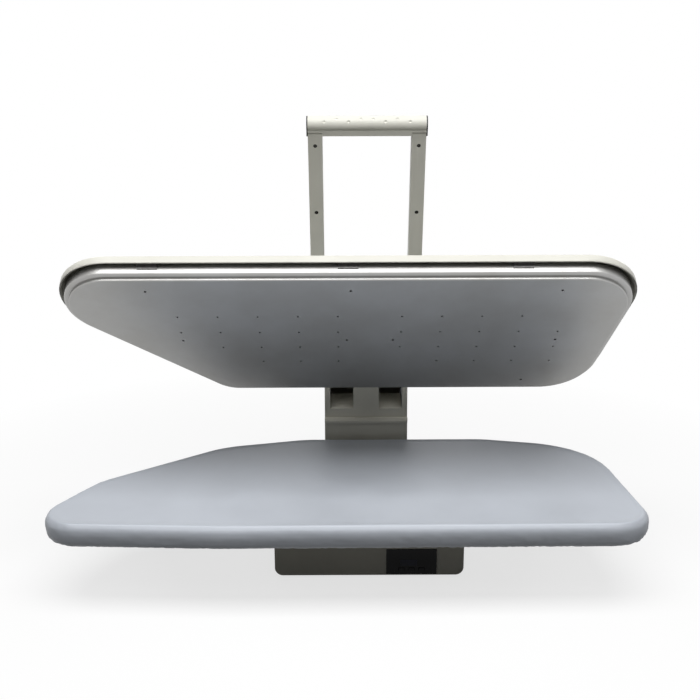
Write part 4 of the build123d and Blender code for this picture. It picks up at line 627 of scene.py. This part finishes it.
@dataclass
class Board(Assembly):
    """Pressing board: a pan and a perforated plate, a foam pad, and a cloth cover drawn in under it."""

    corner_shares: tuple = ((-0.5, 0.04), (-0.454, 0.247), (-0.245, 0.683), (-0.094, 1.0),
                            (0.37, 1.0), (0.481, 0.793), (0.5, 0.017), (-0.3, 0.0))
    corner_radii: tuple = (55.0, 77.0, 150.0, 150.0, 150.0, 150.0, 60.0, 150.0)
    columns: int = 440
    top_rings: int = 8
    inner_ring: int = 2
    edge_margin: float = 9.0
    round_steps: int = 5
    side_steps: int = 3
    low_steps: int = 6
    hem_steps: int = 5
    former_columns: int = 220
    spine_reach: float = 300.0
    top_radius: float = 11.0
    low_radius: float = 14.0
    hem_reach: float = 38.0
    cloth_thickness: float = 0.8
    former_gap: float = 0.6
    contact_gap: float = 0.4
    least_extra: float = 0.012
    most_extra: float = 0.1
    most_pull: float = 16.0
    rear_share: float = 0.35
    growth: float = 0.14
    pinned_rings: int = 2
    drag_start: float = 0.15
    frames: int = 20
    move_cap: float = 6.0
    slacks: tuple = field(default=(
        Slack(-0.47, 0.045, 0.05, 4.0), Slack(-0.27, 0.06, 0.03, 6.0), Slack(-0.1, 0.05, 0.035, 8.0),
        Slack(0.06, 0.09, 0.06, 12.0), Slack(0.2, 0.1, 0.08, 14.0), Slack(0.34, 0.1, 0.085, 15.0),
        Slack(0.47, 0.06, 0.05, 8.0)))

    @cached_property
    def span(self) -> tuple[Vector, Vector]:
        """The lowest and highest corners of the CAD cover."""
        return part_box("board_cover")

    def corners(self, grow: float) -> list[tuple[float, float, float]]:
        """Returns the outline's corner circles in metres, grown by a length in millimetres."""
        low, high = self.span
        width, depth = high.x - low.x, high.y - low.y
        circles = []
        for (share_x, share_y), radius in zip(self.corner_shares, self.corner_radii):
            r = radius * MM
            middle_y = low.y + r + share_y * (depth - 2 * r)
            circles.append((share_x * (width - 2 * r), middle_y, r + grow * MM))
        return circles

    def profile(self) -> list[tuple[float, float]]:
        """Returns the side's section from the top edge to the hem, as (inset, height) in metres."""
        low, high = self.span
        top, foot = high.z, low.z
        upper, lower = self.top_radius * MM, self.low_radius * MM
        places = []
        for step in range(self.round_steps + 1):
            angle = math.pi / 2 * step / self.round_steps
            places.append((upper * (1 - math.sin(angle)), top - upper * (1 - math.cos(angle))))
        for step in range(1, self.side_steps + 1):
            places.append((0.0, top - upper + (foot + lower - top + upper) * step / self.side_steps))
        for step in range(1, self.low_steps + 1):
            angle = math.pi / 2 * step / self.low_steps
            places.append((lower * (1 - math.cos(angle)), foot + lower * (1 - math.sin(angle))))
        for step in range(1, self.hem_steps + 1):
            places.append((lower + (self.hem_reach * MM - lower) * step / self.hem_steps, foot))
        return places

    def shrunk(self, ring: list[Vector], share: float) -> list[Vector]:
        """Draws a ring of points in towards the spine of the board.

        Args:
            ring: points round the outline.
            share: how much of the way from the spine is left.

        Returns:
            The new ring, at the same heights.
        """
        low, high = self.span
        middle_y = (low.y + high.y) / 2
        reach = self.spine_reach * MM
        drawn = []
        for point in ring:
            spine_x = max(-reach, min(reach, point.x))
            drawn.append(Vector((spine_x + (point.x - spine_x) * share,
                                 middle_y + (point.y - middle_y) * share, point.z)))
        return drawn

    def build(self) -> None:
        """Dresses the board's nodes and makes its pad and cover."""
        for name in ("board_pan", "board_plate"):
            self.dress(name, Slot.BOARD_SHEET)
        self.dress("board_posts", Slot.PLATED_STEEL)
        self.dress("pad_foam", Slot.FOAM)
        self.dress("board_cover", Slot.COVER_CLOTH)
        self.make_pad()
        self.make_cover()

    def make_pad(self) -> None:
        """Makes the foam pad: crowned on top, with sides that pull in."""
        low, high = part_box("pad_foam")
        skin = (low.x - self.span[0].x) / MM
        rings = []
        for inset, height in ((14.0, 0.0), (0.8, 0.0), (0.0, 0.12), (0.5, 0.35), (1.6, 0.58), (4.0, 0.80),
                              (8.0, 0.93), (16.0, 0.99), (34.0, 1.0)):
            ring = sample_hull(self.corners(-skin - inset), self.columns // 2)
            rings.append([Vector((p.x, p.y, low.z + (high.z - low.z) * height)) for p in ring])
        last = rings[-1]
        for share in (0.75, 0.5, 0.25):
            rings.append(self.shrunk(last, share))
        mesh = ring_mesh("pad", rings, closed_start=True, closed_end=True)
        pad = self.add_piece("foam_pad", mesh, Slot.FOAM, "base")
        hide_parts("pad_foam")

    def slack_at(self, x: float, front: float) -> tuple[float, float]:
        """Returns the cloth's extra length, as a share, and the hem's pull in metres, at a place.

        Args:
            x: the place across the board, in metres from its middle.
            front: 1 on the front side, falling to 0 round the corners.
        """
        low, high = self.span
        share = x / (high.x - low.x)
        extra, pull = self.least_extra, 0.0
        for slack in self.slacks:
            weight = math.exp(-((share - slack.place) / slack.reach) ** 2)
            extra += slack.extra * weight * (self.rear_share + (1 - self.rear_share) * front)
            pull += slack.pull * weight * front * MM
        return min(extra, self.most_extra), min(pull, self.most_pull * MM)

    def cover_rings(self, inset: float) -> list[list[Vector]]:
        """Lays out the cover's rings of points, from the spine of its top to the hem.

        Args:
            inset: how far the whole shape is drawn in, in metres.

        Returns:
            The rings.
        """
        low, high = self.span
        rim = sample_hull(self.corners(-inset / MM), self.columns)
        outward = []
        for at, point in enumerate(rim):
            along = rim[(at + 1) % len(rim)] - rim[at - 1]
            outward.append(Vector((along.y, -along.x)).normalized())
        top_ring = [Vector((p.x, p.y, high.z - inset))
                    for p in sample_hull(self.corners(-self.top_radius - self.edge_margin), self.columns)]
        rings = [self.shrunk(top_ring, step / self.top_rings)
                 for step in range(self.inner_ring, self.top_rings + 1)]
        profile = self.profile()
        for drawn, height in profile:
            level = height - inset if height > (low.z + high.z) / 2 else height + inset
            places = [point - out * drawn for point, out in zip(rim, outward)]
            rings.append([Vector((place.x, place.y, level)) for place in places])
        return rings

    def make_cover(self) -> None:
        """Makes the cloth cover: its top, its slack side, and the hem drawn in under the board."""
        rings = self.cover_rings(0.0)
        band = self.top_rings - self.inner_ring
        rings = rings[:band] + self.settle(rings[band:])
        mesh = ring_mesh("cover", rings, closed_start=True)
        cover = self.add_piece("silvered_cover", mesh, Slot.COVER_CLOTH, "base")
        skin = cover.modifiers.new("cloth_thickness", "SOLIDIFY")
        skin.thickness = self.cloth_thickness * MM
        skin.offset = -1.0
        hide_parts("board_cover")

    def settle(self, cut: list[list[Vector]]) -> list[list[Vector]]:
        """Lets the cover's side find its creases by simulation, with its hem dragged sideways.

        Args:
            cut: the side's rings as they were cut and sewn, with no crease.

        Returns:
            The rings with their creases.
        """
        room = bpy.data.scenes.new("cloth_room")
        coarse = replace(self, columns=self.former_columns)
        form = ring_mesh("former", coarse.cover_rings(self.former_gap * MM))
        former = bpy.data.objects.new("former", form)
        cloth = bpy.data.objects.new("settling_cover", ring_mesh("settling", cut))
        for part in (former, cloth):
            room.collection.objects.link(part)
        former.modifiers.new("press", "COLLISION")
        former.collision.thickness_outer = self.former_gap * MM
        former.collision.cloth_friction = 5.0
        low, high = self.span
        cloth.shape_key_add(name="as_cut")
        dragged = cloth.shape_key_add(name="dragged")
        held = cloth.vertex_groups.new(name="held")
        long_cloth = cloth.vertex_groups.new(name="long_cloth")
        rim = cut[len(cut) // 2]
        for at in range(self.columns):
            along = rim[(at + 1) % self.columns] - rim[at - 1]
            out = Vector((along.y, -along.x, 0.0)).normalized()
            extra, pull = self.slack_at(rim[at].x, max(0.0, -out.y))
            for row, ring in enumerate(cut):
                index = row * self.columns + at
                held.add([index], 1.0 if row < self.pinned_rings or row == len(cut) - 1 else 0.0, "REPLACE")
                long_cloth.add([index], min(1.0, extra / self.most_extra), "REPLACE")
                depth = (high.z - ring[at].z) / (high.z - low.z)
                fall = max(0.0, min(1.0, 2 * (depth - self.drag_start)))
                dragged.data[index].co = ring[at] + Vector((-out.y, out.x, 0.0)) * pull * fall
        dragged.value = 1.0
        settings = cloth.modifiers.new("settle", "CLOTH").settings
        settings.vertex_group_mass = "held"
        settings.vertex_group_shrink = "long_cloth"
        settings.shrink_min = 0.0
        settings.shrink_max = -self.growth
        settings.rest_shape_key = cloth.data.shape_keys.key_blocks["as_cut"]
        settings.quality = 4
        settings.mass = 0.3
        settings.air_damping = 2.0
        settings.tension_stiffness = 5.0
        settings.compression_stiffness = 5.0
        settings.shear_stiffness = 2.0
        settings.bending_stiffness = 0.02
        settings.effector_weights.gravity = 0.0
        collide = cloth.modifiers["settle"].collision_settings
        collide.distance_min = self.contact_gap * MM
        collide.collision_quality = 1
        room.frame_start, room.frame_end = 1, self.frames
        for frame in range(1, self.frames + 1):
            room.frame_set(frame)
        settled = cloth.evaluated_get(room.view_layers[0].depsgraph).data
        cap = self.move_cap * MM
        rings = []
        for row in range(len(cut)):
            ring = []
            for at in range(self.columns):
                home = dragged.data[row * self.columns + at].co
                move = settled.vertices[row * self.columns + at].co - home
                ring.append(home + move * min(1.0, cap / max(move.length, 1e-9)))
            rings.append(ring)
        for part in (former, cloth):
            bpy.data.objects.remove(part)
        bpy.data.scenes.remove(room)
        return rings


@dataclass
class Column(Assembly):
    """Rear column with the hinge: block, upper housing, rear cover, bracket, shaft, springs and bushes."""

    casing_edge: float = 0.8

    def build(self) -> None:
        """Dresses the column's nodes."""
        for name in ("column_block", "column_housing", "column_back"):
            self.dress(name, Slot.CASING, self.casing_edge)
        for name in ("hinge_bracket", "stop_rod"):
            self.dress(name, Slot.PLATED_STEEL)
        self.dress("hinge_shaft", Slot.GROUND_STEEL)
        self.dress("lift_springs", Slot.SPRING_STEEL)
        for name in ("hub_spacers", "pivot_washers"):
            self.dress(name, Slot.BUSH_BRONZE)


@dataclass
class Head(Assembly):
    """Swinging head: shell, heated plate, steam chamber, pump, hoses, arms and the tank's dock."""

    shell_edge: float = 1.6
    arm_edge: float = 1.0

    def build(self) -> None:
        """Dresses the head's nodes."""
        self.dress("head_shell", Slot.HEAD_CASING, self.shell_edge)
        self.dress("head_arms", Slot.HEAD_CASING, self.arm_edge)
        self.dress("tank_dock", Slot.CASING, self.arm_edge)
        for name in ("heat_plate", "steam_chamber"):
            self.dress(name, Slot.PRESS_PLATE)
        for name in ("plate_screws", "arm_bolts"):
            self.dress(name, Slot.SCREW_STEEL)
        for name in ("head_frame", "heater_element", "thermostat"):
            self.dress(name, Slot.PLATED_STEEL)
        self.dress("plate_clips", Slot.SPRING_STEEL)
        self.dress("insulation_blanket", Slot.BLANKET)
        self.dress("steam_pump", Slot.DARK_TRIM, self.arm_edge)
        for name in ("steam_hose", "feed_hose"):
            self.dress(name, Slot.SILICONE)
        self.dress("hinge_bushes", Slot.BUSH_BRONZE)


@dataclass
class Tank(Assembly):
    """Water tank that lifts off the head, with its cap."""

    def build(self) -> None:
        """Dresses the tank and its cap."""
        self.dress("water_tank", Slot.TANK_PLASTIC)
        self.dress("tank_cap", Slot.DARK_TRIM)


@dataclass
class Handle(Assembly):
    """Two-arm handle: covers, steel frame, bushes, screws, grip and the steam button."""

    arm_edge: float = 1.2

    def build(self) -> None:
        """Dresses the handle's nodes."""
        for name in ("handle_lower_covers", "handle_upper_covers"):
            self.dress(name, Slot.HEAD_CASING, self.arm_edge)
        self.dress("grip", Slot.HEAD_CASING)
        for name in ("grip_caps", "pivot_caps", "steam_button"):
            self.dress(name, Slot.DARK_TRIM)
        self.dress("handle_frame", Slot.PLATED_STEEL)
        self.dress("handle_bushes", Slot.BUSH_BRONZE)
        self.dress("handle_screws", Slot.SCREW_STEEL)
        self.dress("button_switch", Slot.CIRCUIT)


@dataclass(frozen=True)
class Lamp:
    """A soft box: an area lamp aimed at a point."""

    name: str
    place: tuple
    target: tuple
    size: tuple
    power: float
    colour: str = "FFFFFF"

    def hang(self) -> None:
        """Adds the lamp to the scene."""
        data = bpy.data.lights.new(self.name, "AREA")
        data.shape = "RECTANGLE"
        data.size, data.size_y = self.size
        data.energy = self.power
        data.color = linear(self.colour)[:3]
        lamp = bpy.data.objects.new(self.name, data)
        lamp.location = self.place
        lamp.rotation_euler = (Vector(self.target) - Vector(self.place)).to_track_quat("-Z", "Y").to_euler()
        bpy.context.scene.collection.objects.link(lamp)


@dataclass
class Studio:
    """Pale floor and world, soft boxes, and the camera at the photograph's viewing angle."""

    floor_reach: float = 14.0
    shown: str = "FFFFFF"
    floor_tone: str = "2A2A28"
    shadow_depth: float = 0.3
    shadow_start: float = 0.3
    shadow_reach: float = 1.1
    world_strength: float = 0.06
    camera_place: tuple = (0.00207, -1.59459, 0.76124)
    pitch: float = 14.905
    yaw: float = 0.137
    roll: float = 0.186
    lens: float = 51.43
    sensor: float = 36.0
    lamps: tuple = (
        Lamp("overhead_box", (0.0, -0.62, 2.35), (0.0, -0.05, 0.2), (2.8, 1.2), 60.0),
        Lamp("front_high", (0.0, -2.2, 2.7), (0.0, 0.0, 0.2), (3.0, 0.7), 9.0),
    )

    def build(self) -> None:
        """Lays the floor, hangs the lamps, sets the world and places the camera."""
        self.lay_floor()
        self.set_world()
        for lamp in self.lamps:
            lamp.hang()
        self.place_camera()
        bpy.context.scene.view_settings.view_transform = "Standard"

    def seen_directly(self, tree: bpy.types.NodeTree) -> bpy.types.NodeSocket:
        """Returns a socket that is 1 on camera, glossy and transmission rays and 0 on the others."""
        path = add_node(tree, "ShaderNodeLightPath")
        either = add_node(tree, "ShaderNodeMath", {0: path.outputs["Is Camera Ray"],
                                                   1: path.outputs["Is Glossy Ray"]}, operation="MAXIMUM")
        return add_node(tree, "ShaderNodeMath", {0: either.outputs["Value"],
                                                 1: path.outputs["Is Transmission Ray"]},
                        operation="MAXIMUM").outputs["Value"]

    def lay_floor(self) -> None:
        """Lays a plain pale floor that keeps the object's shadow."""
        reach = self.floor_reach / 2
        mesh = bpy.data.meshes.new("floor")
        mesh.from_pydata([(-reach, -reach, 0), (reach, -reach, 0), (reach, reach, 0), (-reach, reach, 0)],
                         [], [(0, 1, 2, 3)])
        floor = bpy.data.objects.new("floor", mesh)
        bpy.context.scene.collection.objects.link(floor)
        material = new_material("floor_paper")
        tree = material.node_tree
        place = add_node(tree, "ShaderNodeTexCoord").outputs["Object"]
        far = add_node(tree, "ShaderNodeVectorMath", {0: place}, operation="LENGTH")
        fade = add_node(tree, "ShaderNodeMapRange",
                        {"Value": far.outputs["Value"], "From Min": self.shadow_start,
                         "From Max": self.shadow_reach, "To Min": 1 - self.shadow_depth, "To Max": 1.0})
        lit = add_node(tree, "ShaderNodeBsdfDiffuse", {"Color": linear(self.shown)})
        shown = add_node(tree, "ShaderNodeEmission", {"Color": linear(self.shown), "Strength": 1.0})
        both = add_node(tree, "ShaderNodeMixShader", {0: fade.outputs["Result"], 1: lit.outputs[0],
                                                      2: shown.outputs[0]})
        bounce = add_node(tree, "ShaderNodeBsdfDiffuse", {"Color": linear(self.floor_tone)})
        surface = add_node(tree, "ShaderNodeMixShader", {0: self.seen_directly(tree), 1: bounce.outputs[0],
                                                         2: both.outputs[0]})
        add_node(tree, "ShaderNodeOutputMaterial", {"Surface": surface.outputs[0]})
        mesh.materials.append(material)

    def set_world(self) -> None:
        """Lights the surroundings weakly, and shows them white behind the object."""
        world = bpy.data.worlds.new("studio")
        world.use_nodes = True
        tree = world.node_tree
        tree.nodes.clear()
        dim = add_node(tree, "ShaderNodeBackground", {"Color": linear(self.shown),
                                                      "Strength": self.world_strength})
        white = add_node(tree, "ShaderNodeBackground", {"Color": linear(self.shown), "Strength": 1.0})
        surface = add_node(tree, "ShaderNodeMixShader", {0: self.seen_directly(tree), 1: dim.outputs[0],
                                                         2: white.outputs[0]})
        add_node(tree, "ShaderNodeOutputWorld", {"Surface": surface.outputs[0]})
        bpy.context.scene.world = world

    def place_camera(self) -> None:
        """Places the camera as solved from the photograph."""
        pitch, yaw, roll = (math.radians(angle) for angle in (self.pitch, self.yaw, self.roll))
        ahead = Vector((math.sin(yaw) * math.cos(pitch), math.cos(yaw) * math.cos(pitch), -math.sin(pitch)))
        right = Vector((math.cos(yaw), -math.sin(yaw), 0.0))
        down = ahead.cross(right)
        turned_right = right * math.cos(roll) + down * math.sin(roll)
        turned_down = down * math.cos(roll) - right * math.sin(roll)
        data = bpy.data.cameras.new("camera")
        data.sensor_width = self.sensor
        data.lens = self.lens
        camera = bpy.data.objects.new("camera", data)
        turn = Matrix((turned_right, -turned_down, -ahead)).transposed()
        camera.matrix_world = Matrix.Translation(self.camera_place) @ turn.to_4x4()
        bpy.context.scene.collection.objects.link(camera)
        bpy.context.scene.camera = camera


def main() -> None:
    """Builds the press's looks and the studio round it."""
    logging.basicConfig(level=logging.INFO, format="%(name)s: %(message)s")
    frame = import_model()
    finishes = {slot: finish.material() for slot, finish in FINISHES.items()}
    for kind in (Base, Board, Column, Head, Tank, Handle):
        kind(frame["nodes"], finishes).build()
    Studio().build()
    bpy.context.view_layer.update()


if __name__ == "__main__":
    main()
